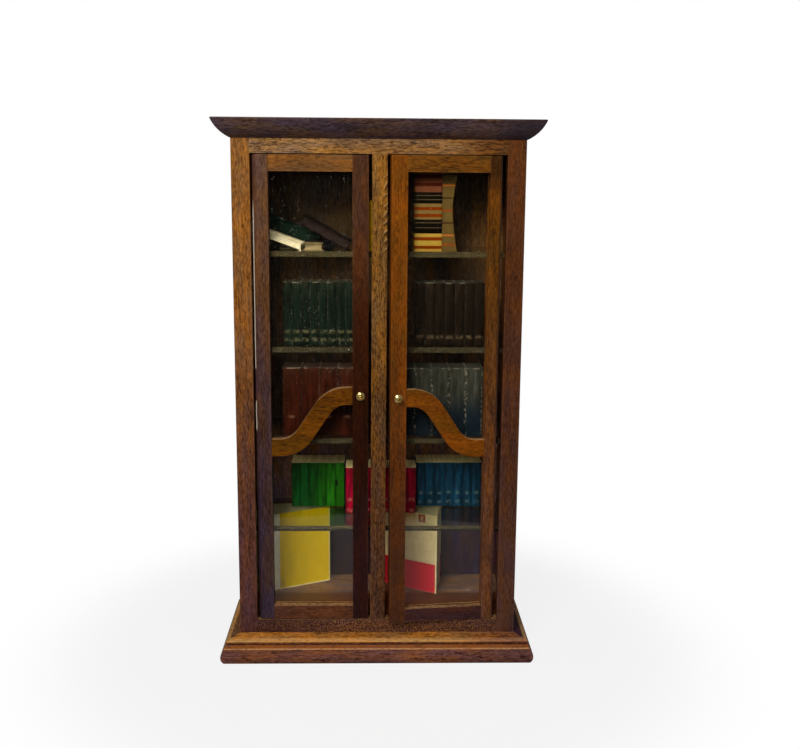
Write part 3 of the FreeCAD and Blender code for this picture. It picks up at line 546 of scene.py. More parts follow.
def stain_board(index, name, grain, figure, pores, wear_and_highlight, head, foot=None):
    """Wood, then worn and lit edge + (1 - share) wood, dust and painted highlight, painted moulding
    light and shade, and own marks.
    """
    pivot, turn = (RIGHT_PIVOT, RIGHT_TURN) if "door_right" in name else ((0.0, 0.0, 0.0), 0.0)
    low, high = own_box(nodes[name], pivot, turn)
    matt = name.startswith(("plinth", "base_cap"))
    material, w, shader = new_finish(f"stain_{name}", coat_weight=0.0 if matt else 0.06,
                                     coat_roughness=0.25, specular_ior_level=0.1 if matt else 0.2,
                                     specular_tint=WARM_GLOSS)
    spot = place_mm(w, pivot, (0.0, 0.0, turn))
    # painted shade: the colour fades from the head down to the foot, for light that falls off
    # downwards
    body = w.blend(w.ease(w.parts(spot)[2], PAINTED_SHADE_FOOT, PAINTED_SHADE_HEAD), ink(*(foot or head)),
                   ink(*head))
    wood = w.effect(WOOD, {
        "Vector": spot, "Along": ALONG[grain], "Dash": DASH[grain],
        "Seed": (index * 17.3, index * 7.1, index * 11.7), "Body": body, "Fleck": ORANGE_FLECK,
        "Figure": figure, "Pores": pores,
        "Pore Scale": LONG_PORES if name.startswith("plinth") else SHORT_PORES,
        "Mottle": speckle_share(w, spot) if name == "bottom_rail" else 0.0})
    colour = wood["Color"]
    # wear and painted edge highlight: a paler copy of the board's colour along its edges
    if wear_and_highlight:
        mask = w.effect(WEAR_AND_HIGHLIGHT, {"Vector": spot, "Low": tuple(low), "High": tuple(high),
                               "Width": WEAR_AND_HIGHLIGHT_WIDTH})["Mask"]
        colour = w.blend(w.times(mask, wear_and_highlight * WEAR_AND_HIGHLIGHT_SHARE), colour,
                         w.arrow("MULTIPLY_ADD", body, WORN_AND_LIT_GAIN, WORN_AND_LIT_LIFT))
    # dust on the ledges, and a painted highlight where a face looks up
    if name in DUSTY_AND_LIT:
        dust = w.effect(LEDGE_AND_HIGHLIGHT, {"Vector": spot, "Normal": w.add("NewGeometry").outputs["Normal"]})
        colour = w.blend(w.times(dust["Mask"], DUSTY_AND_LIT[name]), colour, LEDGE_DUST_AND_HIGHLIGHT)
    # painted shade in the mouldings' grooves and painted highlights on their edges
    for moulding, lines in MOULDING_LIGHT_AND_SHADE.items():
        if name.startswith(moulding):
            colour = paint_moulding_light_and_shade(w, spot, colour, lines)
    colour = mark_board(w, spot, name, colour)
    w.feed(shader, base_color=colour, normal=w.bump(wood["Height"], 0.12, 0.5),
           roughness=w.sum("ADD", wood["Roughness"], 0.3) if matt else wood["Roughness"])
    dress(nodes[name], material)
    soften(nodes[name])


for number, row in enumerate(BOARDS):
    stain_board(number, *row)
print(f"{len(BOARDS)} boards stained")

# %% [markdown]
# ## Clear plastic, with the dust of years
# The panes and shelves are clear acrylic. Light has to reach the books, so a mix that only
# shadow rays see lets the lamps through. The dust is a second shader, mixed in by a mask:
# a Voronoi pattern with a speck of its own size in each cell, and a faint haze of noise.

# %% The dust effect and the clear finish
ACRYLIC_BEND = 1.33
OPEN_WAY = ink(245, 245, 240)


def make_dust_effect():
    """Speck = 1 where the distance to a cell's centre is under that cell's own small radius."""
    group, w, given, result = new_effect("dust", ("Mask",), ("Vector",), Density=0.35, Haze=0.02)
    layers = []
    for scale, most in ((1.0, 0.26), (2.3, 0.32)):
        cells = w.add("TexVoronoi", {"Vector": given["Vector"],
                                     "Scale": w.times(given["Density"], scale)})
        luck = w.parts(cells.outputs["Color"])[0]
        size = w.sum("MULTIPLY_ADD", w.sum("POWER", luck, 6.0), most, 0.001)
        layers.append(w.ease(w.sum("DIVIDE", cells.outputs["Distance"], size), 1.0, 0.4))
    cloud = w.ease(w.noise(given["Vector"], 0.08, 4.0, 0.6), 0.35, 0.75)
    crowd = w.ease(w.noise(given["Vector"], 0.06, 2.0), 0.40, 0.60, 0.15, 0.75)
    specks = w.times(w.sum("MAXIMUM", *layers), crowd)
    w.give(result["Mask"], w.sum("MULTIPLY_ADD", cloud, given["Haze"], specks, clamp=True))
    return group


DUST = make_dust_effect()


def clear_finish(name, colour, roughness, dust_colour, dust_mask):
    """Clear acrylic, a dust shader mixed in by a mask, and a way through for shadow rays."""
    material, w, clear = new_finish(name, base_color=ink(*colour), roughness=roughness,
                                    ior=ACRYLIC_BEND, transmission_weight=1.0)
    dust = w.add("BsdfPrincipled", {"Base Color": ink(*dust_colour), "Roughness": 0.9})
    dusty = w.mix(dust_mask(w), clear.outputs[0], dust.outputs[0])
    way = w.add("BsdfTransparent", {"Color": OPEN_WAY}).outputs[0]
    w.close(w.mix(w.add("LightPath").outputs["Is Shadow Ray"], dusty, way))
    return material


print("dust effect made")

# %% [markdown]
# ### Panes and shelves
# The left pane carries more dust than the right one, and both are cleaner below, where hands
# have wiped them. A shelf is clear too, but its front edge was sawn and never polished, so
# there the dust mask is nearly full, and the dust is brown.

# %% Finish the panes and shelves
PANE_DUST = {"left": 0.9, "right": 0.35}
WIPED_TO, DUSTY_FROM, WIPED_SHARE = 86.0, 116.0, 0.2
# shelf, height of the frosted strip in mm, tone of its brown
SHELVES = (("one", 1.9, 0.86), ("two", 1.9, 0.72), ("three", 1.7, 0.70), ("four", 1.2, 0.93))
SAWN_BROWN = (86, 73, 37)


def glaze_door(hand, pivot, turn):
    """More dust with height: the mask times a slope from the wiped to the dusty height."""
    def mask(w):
        spot = place_mm(w, pivot, (0.0, 0.0, turn))
        specks = w.effect(DUST, {"Vector": spot, "Density": 0.7, "Haze": 0.003})["Mask"]
        return w.times(specks, w.ease(w.parts(spot)[2], WIPED_TO, DUSTY_FROM, WIPED_SHARE,
                                      PANE_DUST[hand]))
    dress(nodes[f"door_{hand}_pane"],
          clear_finish(f"pane_{hand}", (250, 250, 246), 0.02, (205, 200, 188), mask))


def finish_shelf(word, strip, tone):
    """Frosted where y is at the front edge and z is in the strip, dusty elsewhere."""
    node = nodes[f"clear_shelf_{word}"]
    low, high = own_box(node)

    def mask(w):
        spot = place_mm(w)
        _, y, z = w.parts(spot)
        sawn = w.times(w.ease(y, low[1] + 0.25, low[1] + 0.05),
                       w.ease(z, high[2] - strip - 0.1, high[2] - strip + 0.1))
        scuff = w.ease(w.noise(w.arrow("MULTIPLY", spot, (0.35, 1.0, 1.6)), 1.1, 4.0, 0.7),
                       0.3, 0.7, 0.55, 0.95)
        dust = w.effect(DUST, {"Vector": spot, "Density": 0.5, "Haze": 0.02})["Mask"]
        return w.sum("MAXIMUM", w.times(sawn, scuff), dust)
    dress(node, clear_finish(f"shelf_{word}", (238, 240, 228), 0.04,
                             [part * tone for part in SAWN_BROWN], mask))


for door in DOORS:
    glaze_door(*door)
for shelf in SHELVES:
    finish_shelf(*shelf)
print("panes and shelves clear")

# %% [markdown]
# ## New pieces from grids of points
# Books and knobs are surfaces that numpy works out as whole arrays. A closed loop of points
# is repeated at several levels, which gives a grid, and the two open ends are closed. The
# helper below turns such grids into one mesh, and puts the piece on the body it moves with.

# %% Grids into meshes
def tube_faces(levels, around):
    """Quads between neighbouring loops: corner (i, j), (i, j+1), (i+1, j+1), (i+1, j)."""
    i, j = np.meshgrid(np.arange(levels - 1), np.arange(around), indexing="ij")
    k = (j + 1) % around
    corners = (i * around + j, i * around + k, (i + 1) * around + k, (i + 1) * around + j)
    return np.stack(corners, -1).reshape(-1, 4)


def add_piece(name, solids, body, stands_for=(), smooth_angle=40.0):
    """solids: (points n x 3 in mm, faces as lists of corner numbers) joined into one mesh."""
    points, faces, start = [], [], 0
    for spots, corners in solids:
        points.append(spots)
        faces += [[start + c for c in face] for face in corners]
        start += len(spots)
    mesh = bpy.data.meshes.new(name)
    mesh.from_pydata(np.concatenate(points) * MM, [], faces)
    mesh.polygons.foreach_set("use_smooth", [True] * len(mesh.polygons))
    mesh.set_sharp_from_angle(angle=math.radians(smooth_angle))
    piece = bpy.data.objects.new(name, mesh)
    scene.collection.objects.link(piece)
    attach(piece, body)
    if stands_for:
        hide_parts(*stands_for)
    return piece


print(f"a tube of 3 loops with 8 corners has {len(tube_faces(3, 8))} quads")

# %% [markdown]
# ## The knobs
# Each brass knob was turned on a lathe: a disc against the door, a thin neck, and a ball. So
# the shape is a profile of (radius, distance from the door) carried round an axis, with the
# two ends closed by a pole. Brass is a metal, and fine rings left by the tool catch the light.

# %% Turn the knobs
KNOB_REACH, AROUND = 2.9, 48


def knob_profile():
    """A rounded disc, a waist, and a ball: r = R sin a, out = c - R cos a for the ball."""
    disc_turn = np.linspace(-90, 90, 7) * math.pi / 180
    disc = np.stack((1.24 + 0.16 * np.cos(disc_turn), 0.18 + 0.16 * np.sin(disc_turn)), -1)
    step = np.array(((1.02, 0.36), (0.92, 0.46), (0.72, 0.50), (0.58, 0.60), (0.55, 0.80)))
    ball_turn = np.linspace(146, 4, 20) * math.pi / 180
    ball = np.stack((np.sin(ball_turn), 1.9 - np.cos(ball_turn)), -1)
    return np.concatenate((((1.10, 0.02),), disc, step, ball))


def turn_knob(hand, pivot, turn):
    """Carries (r, out) round the axis: x = r cos a, y = -out, z = r sin a."""
    low, high = own_box(nodes[f"door_{hand}_knob"], pivot, turn)
    middle = (low + high) / 2
    profile = knob_profile()
    angle = np.linspace(0, 2 * math.pi, AROUND, endpoint=False)
    radius, out = profile[:, :1], profile[:, 1:]
    x = middle[0] + radius * np.cos(angle)
    y = low[1] + KNOB_REACH - out + 0 * angle
    z = middle[2] + radius * np.sin(angle)
    c, s = math.cos(turn), math.sin(turn)
    points = np.stack((c * x - s * y + pivot[0] / MM, s * x + c * y + pivot[1] / MM, z), -1)
    points = points.reshape(-1, 3)
    faces = tube_faces(len(profile), AROUND).tolist()
    faces += [list(range(AROUND))[::-1], list(range(len(points) - AROUND, len(points)))]
    return add_piece(f"knob_{hand}", [(points, faces)], f"door_{hand}",
                     (f"door_{hand}_knob",), 60.0)


def brass_finish(name):
    """Pale brass that darkens where a soft noise is high, with fine rings round the knob."""
    material, w, shader = new_finish(name, metallic=0.8)
    spot = place_mm(w)
    tarnish = w.noise(spot, 1.4, 4.0, 0.6)
    rings = w.noise(w.arrow("MULTIPLY", spot, (1.0, 9.0, 1.0)), 3.0, 2.0)
    colour = w.blend(w.ease(tarnish, 0.4, 0.75), ink(250, 228, 150), ink(196, 154, 66))
    w.feed(shader, base_color=colour, roughness=w.ease(tarnish, 0.3, 0.8, 0.16, 0.34),
           normal=w.bump(rings, 0.02, 0.3))
    return material


brass = brass_finish("brass")
for hand, pivot, turn in DOORS:
    dress(turn_knob(hand, pivot, turn), brass)
    for end in ("top", "bottom"):
        dress(nodes[f"hinge_pin_{hand}_{end}"], brass)
print("knobs turned")

# %% [markdown]
# ## Books
# A book is a cover folded round a block of pages. Seen from above, the cover is an outer and
# an inner path that run from the fore-edge round the spine and back. Carried up the book's
# height they give a closed skin. The page block is a second loop, with a hollow fore-edge.

# %% Shape a book
# in mm: cover, page margin, cover of an open book, groove beside the spine and where it lies
SKIN, MARGIN, THIN = 0.30, 0.42, 0.16
JOINT, JOINT_AT, JOINT_WIDTH = 0.10, 0.9, 0.4
ROUNDED, CAPPED = 0.12, 0.06
BOARD_POINTS, SPINE_POINTS, PAGE_POINTS = 9, 15, 11
# how far the pages sink into the cover at their sides and at the spine, in cover thicknesses
PAGE_SIDE, PAGE_BACK = 0.9, 0.8


def splay(points, width, thickness, low, high):
    """Moves each point by u ((1 - v) low + v high) width, with u = x / width, v = y / thickness."""
    u = np.clip(points[:, :1] / width, 0, 1)
    v = points[:, 1:2] / thickness
    points[:, :2] += u * ((1 - v) * np.array(low) + v * np.array(high)) * width
    return points


def shape_cover(width, thickness, height, swell, skin):
    """Boards y = joint exp(-((x - at) / w)^2), spine x = -swell cos a, y = t/2 (1 + sin a)."""
    board = np.linspace(width, skin + 0.05, BOARD_POINTS)
    dip = min(JOINT, thickness / 8) * np.exp(-((board - JOINT_AT) / JOINT_WIDTH) ** 2)
    turn = np.linspace(-90, 90, SPINE_POINTS) * math.pi / 180
    spine_x, spine_y = -swell * np.cos(turn), thickness / 2 * (1 + np.sin(turn))
    outer = np.concatenate((np.stack((board, dip), -1), np.stack((spine_x, spine_y), -1),
                            np.stack((board, thickness - dip), -1)[::-1]))
    inner_y = skin + (thickness - 2 * skin) * outer[:, 1] / thickness
    inner_x = np.minimum(outer[:, 0] + skin * (outer[:, 0] < 0.2), width)
    loop = np.concatenate((outer, np.stack((inner_x, inner_y), -1)[::-1]))
    level = np.unique(np.concatenate(([0, ROUNDED, height - ROUNDED, height],
                                      np.linspace(0, height, 5))))
    end = np.where((level == 0) | (level == height), CAPPED, 0.0)
    on_spine = np.zeros(len(loop))
    on_spine[BOARD_POINTS:BOARD_POINTS + SPINE_POINTS] = np.cos(turn)
    grid = np.zeros((len(level), len(loop), 3))
    grid[:, :, :2] = loop
    grid[:, :, 0] += on_spine * end[:, None]
    grid[:, :, 2] = level[:, None]
    half, count = len(outer), len(loop)
    faces = tube_faces(len(level), count)[:, ::-1].tolist()
    for start, way in ((0, 1), (len(level) * count - count, -1)):
        for k in range(half - 1):
            quad = [start + k, start + k + 1, start + count - 2 - k, start + count - 1 - k]
            faces.append(quad[::way])
    return grid.reshape(-1, 3), faces


def shape_pages(width, thickness, height, skin, margin, hollow):
    """Fore-edge x = width - margin - hollow (1 - v^2), with v from -1 to 1 across the block."""
    v = np.linspace(-1, 1, PAGE_POINTS)
    edge_x = width - margin - hollow * (1 - v ** 2)
    edge_y = thickness / 2 + (thickness / 2 - skin * PAGE_SIDE) * v
    back = skin * PAGE_BACK
    loop = np.concatenate((np.stack((edge_x, edge_y), -1), ((back, edge_y[-1]), (back, edge_y[0]))))
    grid = np.zeros((2, len(loop), 3))
    grid[:, :, :2] = loop
    grid[0, :, 2], grid[1, :, 2] = margin, height - margin
    faces = tube_faces(2, len(loop)).tolist()
    faces += [list(range(len(loop)))[::-1], list(range(len(loop), 2 * len(loop)))]
    return grid.reshape(-1, 3), faces


sample = shape_cover(20.0, 5.0, 27.0, 0.5, SKIN)
print(f"a cover has {len(sample[0])} points and {len(sample[1])} faces")

# %% [markdown]
# ### Cloth and paper
# Book cloth is a fine weave that fades in upright streaks. In a row, the fraction of x over
# the pitch says how far across its own volume a point lies, so one network paints shade into
# every joint, rubs the edges, paints a pale highlight along the heads of the dark rows, gives
# each volume its tone and puts the gilding at the middle of each spine. Page edges are thin
# lines across the stack.

# %% Cloth and page finishes
RUBBED_AND_LIT_GREY, NICK_DARK = ink(176, 166, 146), ink(8, 18, 10)
VOLUME_SHADE, PAINTED_SEAM_SHADE = (0.5, 0.5, 0.5), (0.3, 0.3, 0.3)
BLUE_END, OLIVE_END = (0.5, 0.85, 2.2), (1.9, 1.5, 0.6)


def toned(colour, share, lift=0):
    """A screen colour times a share, plus a lift, and never above 255."""
    return ink(*(min(255, part * share + lift) for part in colour))


def page_finish(name, colour, stack):
    """Paper edges: lines across the stack, where stack is the arrow from cover to cover."""
    material, w, shader = new_finish(name, roughness=0.85, specular_ior_level=0.2)
    spot = place_mm(w)
    depth = w.arrow("DOT_PRODUCT", spot, stack)
    drift = w.noise(spot, 0.25, 2.0)
    lines = w.noise(w.add("CombineXYZ", {0: w.times(depth, 7.0), 1: drift}).outputs[0],
                    1.0, 3.0, 0.7)
    stain = w.noise(spot, 0.5, 3.0, 0.6)
    paper = w.blend(w.ease(lines, 0.35, 0.7), toned(colour, 0.8), ink(*colour))
    paper = w.blend(w.times(w.ease(stain, 0.5, 0.8), 0.3), paper,
                    ink(colour[0] * 0.75, colour[1] * 0.62, colour[2] * 0.45))
    w.feed(shader, base_color=paper, normal=w.bump(lines, 0.05, 0.7))
    return material


def gilt_mask(w, spot, phase, heights, share):
    """1 where z is near a band's height and x is near the middle of a volume."""
    gilt = 0.0
    for height in heights:
        near = w.ease(w.away(w.parts(spot)[2], height), 0.95, 0.15)
        middle = w.ease(phase, share / 2 + 0.14, share / 2 - 0.14)
        soft = w.ease(w.noise(spot, 0.8, 1.0), 0.36, 0.60, 0.1, 0.8)
        gilt = w.sum("MAXIMUM", gilt, w.times(near, middle, soft))
    return gilt


def cloth_finish(name, colour, low, pitch, top, gilt, head_colour, rubbed, nick, foot_colour):
    """Book cloth; gilt is the heights of its bands, its share of the width and its colour."""
    material, w, shader = new_finish(name, specular_ior_level=0.08, specular_tint=WARM_GLOSS)
    spot = w.arrow("SUBTRACT", place_mm(w), low)
    x, _, z = w.parts(spot)
    weave = w.noise(spot, 3.2, 3.0, 0.6)
    fade = w.noise(w.arrow("MULTIPLY", spot, (1.0, 1.0, 0.12)), 0.9, 4.0, 0.6)
    shade = w.blend(w.ease(fade, 0.3, 0.75), toned(colour, 0.72), toned(colour, 1.25, 6))
    if foot_colour:
        shade = w.blend(w.ease(z, 16.0, 6.0), shade, ink(*foot_colour))
    shade = w.blend(w.times(w.ease(weave, 0.5, 0.62), 0.25), shade, toned(colour, 0.5))
    volume = w.sum("DIVIDE", x, pitch)
    phase = w.away(w.sum("FRACT", volume), 0.5)
    dots = w.ease(w.noise(spot, 1.1, 2.0), 0.50, 0.60)
    edge = w.times(w.ease(phase, 0.40, 0.46), dots)
    # painted highlight along the top edge in pale dashes, mixed with the rubbed edges below
    head = w.times(w.ease(z, top - 0.45, top - 0.1), w.ease(w.noise(spot, 0.55, 1.0), 0.46, 0.6))
    worn_and_lit, seam_shade = (0.0, 0.9) if head_colour else (0.55, 0.5)
    scuffed_and_lit = w.times(w.sum("MAXIMUM", w.times(edge, rubbed), head), worn_and_lit)
    shade = w.blend(scuffed_and_lit, shade, RUBBED_AND_LIT_GREY)
    tone = w.add("TexWhiteNoise", {"W": w.sum("FLOOR", volume)}, noise_dimensions="1D")
    shade = w.tint(w.times(tone.outputs["Value"], 0.45), shade, VOLUME_SHADE)
    # painted shade in the joints between volumes
    shade = w.tint(w.ease(phase, 0.42, 0.49, 0.0, seam_shade), shade, PAINTED_SEAM_SHADE)
    if nick:
        shade = w.tint(w.ease(x, 12.0, 4.0, 0.0, 0.8), shade, BLUE_END)
        shade = w.tint(w.ease(x, 5.0, 17.0, 0.0, 0.8), shade, OLIVE_END)
    if head_colour:
        flat = w.ease(w.parts(w.add("NewGeometry").outputs["Normal"])[2], 0.5, 0.8)
        shade = w.blend(flat, shade, ink(*head_colour))
    if nick:
        away = w.arrow("MULTIPLY", w.arrow("SUBTRACT", spot, nick), (1.0, 0.0, 0.5))
        shade = w.blend(w.ease(w.arrow("LENGTH", away), 0.75, 0.45), shade, NICK_DARK)
    heights, share, gilt_colour = gilt
    if heights:
        gilded = gilt_mask(w, spot, phase, heights, share)
        shade = w.blend(gilded, shade, ink(*gilt_colour))
        w.feed(shader, metallic=w.times(gilded, 0.3))
    w.feed(shader, base_color=shade, roughness=w.ease(weave, 0.3, 0.7, 0.38, 0.62),
           normal=w.bump(weave, 0.04, 0.4))
    return material


print("cloth and page finishes ready")

# %% [markdown]
# ### The rows of volumes
# Seven rows of matching volumes stand on the shelves. Each volume is shorter or set further
# back than its neighbour by about a tenth of a millimetre. The random numbers are seeded, so
# that every run gives the same row.

# %% Shelve the rows
CREAM = (255, 236, 172)
# row, volumes, cover, pages, gilt (heights in mm, share of the width, colour), head colour
ROWS = (
    ("dark_green", 9, (8, 26, 20), (70, 66, 48), ((1.6, 4.3), 0.7, (104, 98, 70)), None),
    ("black", 7, (22, 15, 10), (70, 66, 56), ((2.6,), 0.7, (108, 92, 70)), None),
    ("brown", 5, (50, 14, 5), (60, 40, 30), ((6.5,), 0.3, (110, 80, 60)), None),
    ("slate", 5, (50, 52, 46), (62, 60, 52), ((), 0.0, None), None),
    ("green", 6, (20, 90, 19), CREAM, ((), 0.0, None), CREAM),
    ("crimson", 8, (159, 3, 44), CREAM, ((1.0, 4.9), 0.6, (190, 110, 96)), CREAM),
    ("teal", 7, (14, 58, 84), CREAM, ((1.8, 5.1), 0.4, (96, 116, 116)), CREAM))
ROW_SWELL, ROW_SKIN = 0.35, 0.22
RUBBED = {"slate": 0.9, "brown": 0.12, "dark_green": 0.3}
NICKS = {"green": (16.0, 0.0, 8.6)}
FOOT_COLOURS = {"slate": (16, 30, 42)}
chance = np.random.default_rng(12)


def shelve_row(colour, volumes, cover, paper, gilt, head):
    """Volume k stands with its spine forward: own x runs to the back, own y to the left."""
    name = f"book_set_{colour}"
    low, high = own_box(nodes[name])
    pitch, depth, tall = (high[0] - low[0]) / volumes, high[1] - low[1], high[2] - low[2]
    covers, pages = [], []
    for volume in range(volumes):
        back, short, slack = chance.uniform((0, 0, 0.02), (0.12, 0.08, 0.05))
        size = (depth - back - ROW_SWELL, pitch - slack, tall - short)
        corner = np.array((low[0] + (volume + 1) * pitch - slack / 2, low[1] + ROW_SWELL + back,
                           low[2]))
        for solids, (points, faces) in (
                (covers, shape_cover(*size, ROW_SWELL, ROW_SKIN)),
                (pages, shape_pages(*size, ROW_SKIN, 0.04 if head else 0.12, 0.1))):
            turned = np.stack((-points[:, 1], points[:, 0], points[:, 2]), -1)
            solids.append((corner + turned, faces))
    row = add_piece(f"{name}_covers", covers, "cabinet", (name,))
    dress(row, cloth_finish(f"cloth_{name}", cover, tuple(low), pitch, tall, gilt, head,
                            RUBBED.get(colour, 0.15), NICKS.get(colour),
                            FOOT_COLOURS.get(colour)))
    block = add_piece(f"{name}_pages", pages, "cabinet")
    dress(block, page_finish(f"edges_{name}", paper, (1, 0, 0)))
    print(f"{name}: {volumes} volumes of {pitch:.2f} mm")


for row in ROWS:
    shelve_row(*row)

# %% [markdown]
# ### The single books
# Four books stand on their own, and six lie in a heap on the top shelf. Each has a corner, a
# turn and a size. The turn is a quaternion, which mathutils makes into a matrix for the
# points and into three angles for the Mapping node, so that the colours follow the book.

# %% Write the single books down
# node, corner, turn (x, y, z, w), (width, thickness, height), cover, page colour
SINGLES = (
    ("book_yellow", (-20.179, 20.711, 15.0), (0, 0, 0.9725, -0.2329), (23.183, 5.754, 27.330),
     (234, 200, 0), (255, 250, 214)),
    ("book_cream_red", (2.484, 13.414, 15.0), (0, 0, 0.2666, -0.9638), (21.765, 3.165, 27.762),
     (236, 216, 170), (244, 228, 184)),
    ("book_gold", (-0.488, -11.411, 138.413), (0, 0, 0.7071, 0.7071), (11.935, 5.016, 16.262),
     (255, 196, 24), (206, 192, 160)),
    ("book_striped", (20.49, -11.411, 138.413), (0, 0, 0.7071, 0.7071), (19.096, 9.052, 28.058),
     (112, 62, 38), (206, 192, 160)),
    ("fallen_book_grey", (-25.634, 8.549, 138.413), (0.5, -0.5, -0.5, 0.5), (7.138, 2.194, 7.761),
     (150, 138, 106), (140, 128, 100)),
    ("fallen_book_ivory", (-18.361, 0.74, 138.413), (0.5, -0.5, -0.5, 0.5), (8.059, 2.312, 6.253),
     (132, 116, 78), (150, 132, 92)),
    ("fallen_book_navy", (-15.301, 8.549, 138.413), (0.5, -0.5, -0.5, 0.5), (5.365, 2.586, 9.890),
     (8, 12, 30), (18, 20, 32)),
    ("fallen_book_cream", (-25.679, 0.74, 138.413), (0.4056, -0.4056, -0.5792, 0.5792),
     (8.059, 2.508, 19.763), (244, 230, 190), (254, 242, 206)),
    ("fallen_book_green", (-20.889, 20.654, 138.413), (0.4061, -0.4061, -0.5789, 0.5789),
     (11.265, 4.506, 24.845), (14, 54, 34), (20, 50, 34)),
    ("fallen_book_burgundy", (-10.467, 8.549, 138.413), (0.361, -0.361, -0.608, 0.608),
     (13.481, 3.135, 18.026), (12, 4, 2), (36, 20, 16)),
)
# books that stand a little open: how each board's fore-edge moves, as shares of the width
OPEN_BOOKS = {"book_yellow": ((-0.06, -0.34), (0.0, 0.0)),
              "book_cream_red": ((0.0, 0.0), (-0.21, 0.40))}
BLACK, ORANGE_RED, DULL_RED, FAINT = (8, 5, 3), (120, 44, 0), (74, 22, 10), (84, 70, 48)
# heights from and to in mm, and colour
STRIPES = {
    "book_striped": (
        (0.0, 5.87, (174, 142, 54)), (5.87, 10.39, BLACK), (10.39, 15.48, (118, 98, 50)),
        (15.48, 19.1, BLACK), (3.6, 4.7, ORANGE_RED), (0.9, 1.9, ORANGE_RED),
        (13.3, 14.4, ORANGE_RED), (11.1, 12.2, ORANGE_RED), (21.0, 22.1, DULL_RED),
        (23.6, 24.7, DULL_RED), (7.6, 7.85, FAINT), (9.2, 9.45, FAINT), (16.6, 16.85, FAINT),
        (17.9, 18.15, FAINT)),
    "book_cream_red": ((0.0, 10.7, (226, 44, 62)),)}
# patches printed on a cover: x from and to, z from and to in mm, and colour
PATCHES = {
    "book_yellow": (
        (19.7, 24.0, -1.0, 28.0, (255, 255, 236)), (-1.0, 24.0, -1.0, 0.45, (250, 240, 180)),
        (-1.0, 0.5, -1.0, 28.0, (226, 206, 120))),
    "book_cream_red": (
        (14.2, 17.0, 24.6, 27.4, (170, 60, 48)), (15.0, 16.2, 25.2, 26.8, (214, 170, 130)),
        (21.2, 24.0, -1.0, 28.0, (240, 226, 180)))}
print(f"{len(SINGLES)} single books, {len(OPEN_BOOKS)} of them a little open")

# %% [markdown]
# ### Binding a single book
# A book's own x runs from the spine to the fore-edge, its y through the thickness and its z
# up the book. Stripes and patches are soft steps along x and z, so they stay in their places
# on the cover however the book stands or lies.

# %% Bind the single books
SPINE_SWELL = 0.5
SHUT = ((0.0, 0.0), (0.0, 0.0))
SOILED, GRAIN_GAIN, GRAIN_LIFT = (0.66, 0.60, 0.56), (1.5, 1.45, 1.4), (0.003, 0.002, 0.001)


def cover_finish(name, colour, pivot, turn, stripes, patches=()):
    """Printed paper over boards: bands by height and patches, soiled in soft blotches, with a fine
    paler grain.
    """
    material, w, shader = new_finish(name, specular_ior_level=0.06, specular_tint=WARM_GLOSS)
    spot = place_mm(w, pivot, turn)
    length, _, height = w.parts(spot)
    shade = ink(*colour)
    for start, end, tint in stripes:
        shade = w.blend(w.between(height, start, end, 0.12), shade, ink(*tint))
    for left, right, foot, head, tint in patches:
        inside = w.times(w.between(length, left, right, 0.1), w.between(height, foot, head, 0.1))
        shade = w.blend(inside, shade, ink(*tint))
    mottle = w.noise(spot, 0.35, 5.0, 0.65)
    shade = w.tint(w.ease(mottle, 0.3, 0.75, 0.0, 0.4), shade, SOILED)
    grain = w.noise(spot, 3.5, 3.0, 0.6)
    shade = w.blend(w.ease(grain, 0.52, 0.72, 0.0, 0.6), shade,
                    w.arrow("MULTIPLY_ADD", shade, GRAIN_GAIN, GRAIN_LIFT))
    w.feed(shader, base_color=shade, roughness=w.ease(mottle, 0.3, 0.7, 0.34, 0.58),
           normal=w.bump(grain, 0.04, 0.35))
    return material


def bind_book(name, corner, quaternion, size, cover, paper):
    """Turns the book's own points by the quaternion, then moves them to its corner."""
    x, y, z, real = quaternion
    turn = Quaternion((real, x, y, z)).to_matrix()
    axes, pivot = np.array(turn), tuple(part * MM for part in corner)
    skin, margin = (THIN, THIN) if name in OPEN_BOOKS else (SKIN, MARGIN)
    pieces = []
    for points, faces in (shape_cover(*size, SPINE_SWELL, skin),
                          shape_pages(*size, skin, margin, margin / 2)):
        points = splay(points, size[0], size[1], *OPEN_BOOKS.get(name, SHUT))
        pieces.append([(points @ axes.T + np.array(corner), faces)])
    shell = add_piece(f"{name}_cover", pieces[0], "cabinet", (name,))
    dress(shell, cover_finish(f"cover_{name}", cover, pivot, tuple(turn.to_euler("XYZ")),
                              STRIPES.get(name, ()), PATCHES.get(name, ())))
    block = add_piece(f"{name}_pages", pieces[1], "cabinet")
    dress(block, page_finish(f"pages_{name}", paper, tuple(axes[:, 1])))


for single in SINGLES:
    bind_book(*single)
print(f"{len(SINGLES)} single books placed")

# %% [markdown]
# ### A loose wrapper
# The striped book has a paper wrapper whose edge has come away and turned out beside the
# spine. It is a thin sheet: its width changes with height, and it bows a little to the back.

# %% Bend the wrapper
FLAP_UP, FLAP_WIDE = (0, 0.25, 0.52, 0.72, 0.88, 1), (5.0, 3.9, 3.4, 3.95, 5.2, 7.3)
FLAP_THICK, FLAP_BEHIND, FLAP_BOW, FLAP_WAVE = 0.16, 0.42, 0.5, 0.12
BRICK, RUST, UMBER = (150, 60, 20), (170, 90, 30), (60, 40, 26)
FLAP_LINES = ((2.0, BRICK), (5.0, RUST), (9.0, UMBER), (13.0, BRICK), (17.0, UMBER), (21.0, RUST),
              (24.5, UMBER))


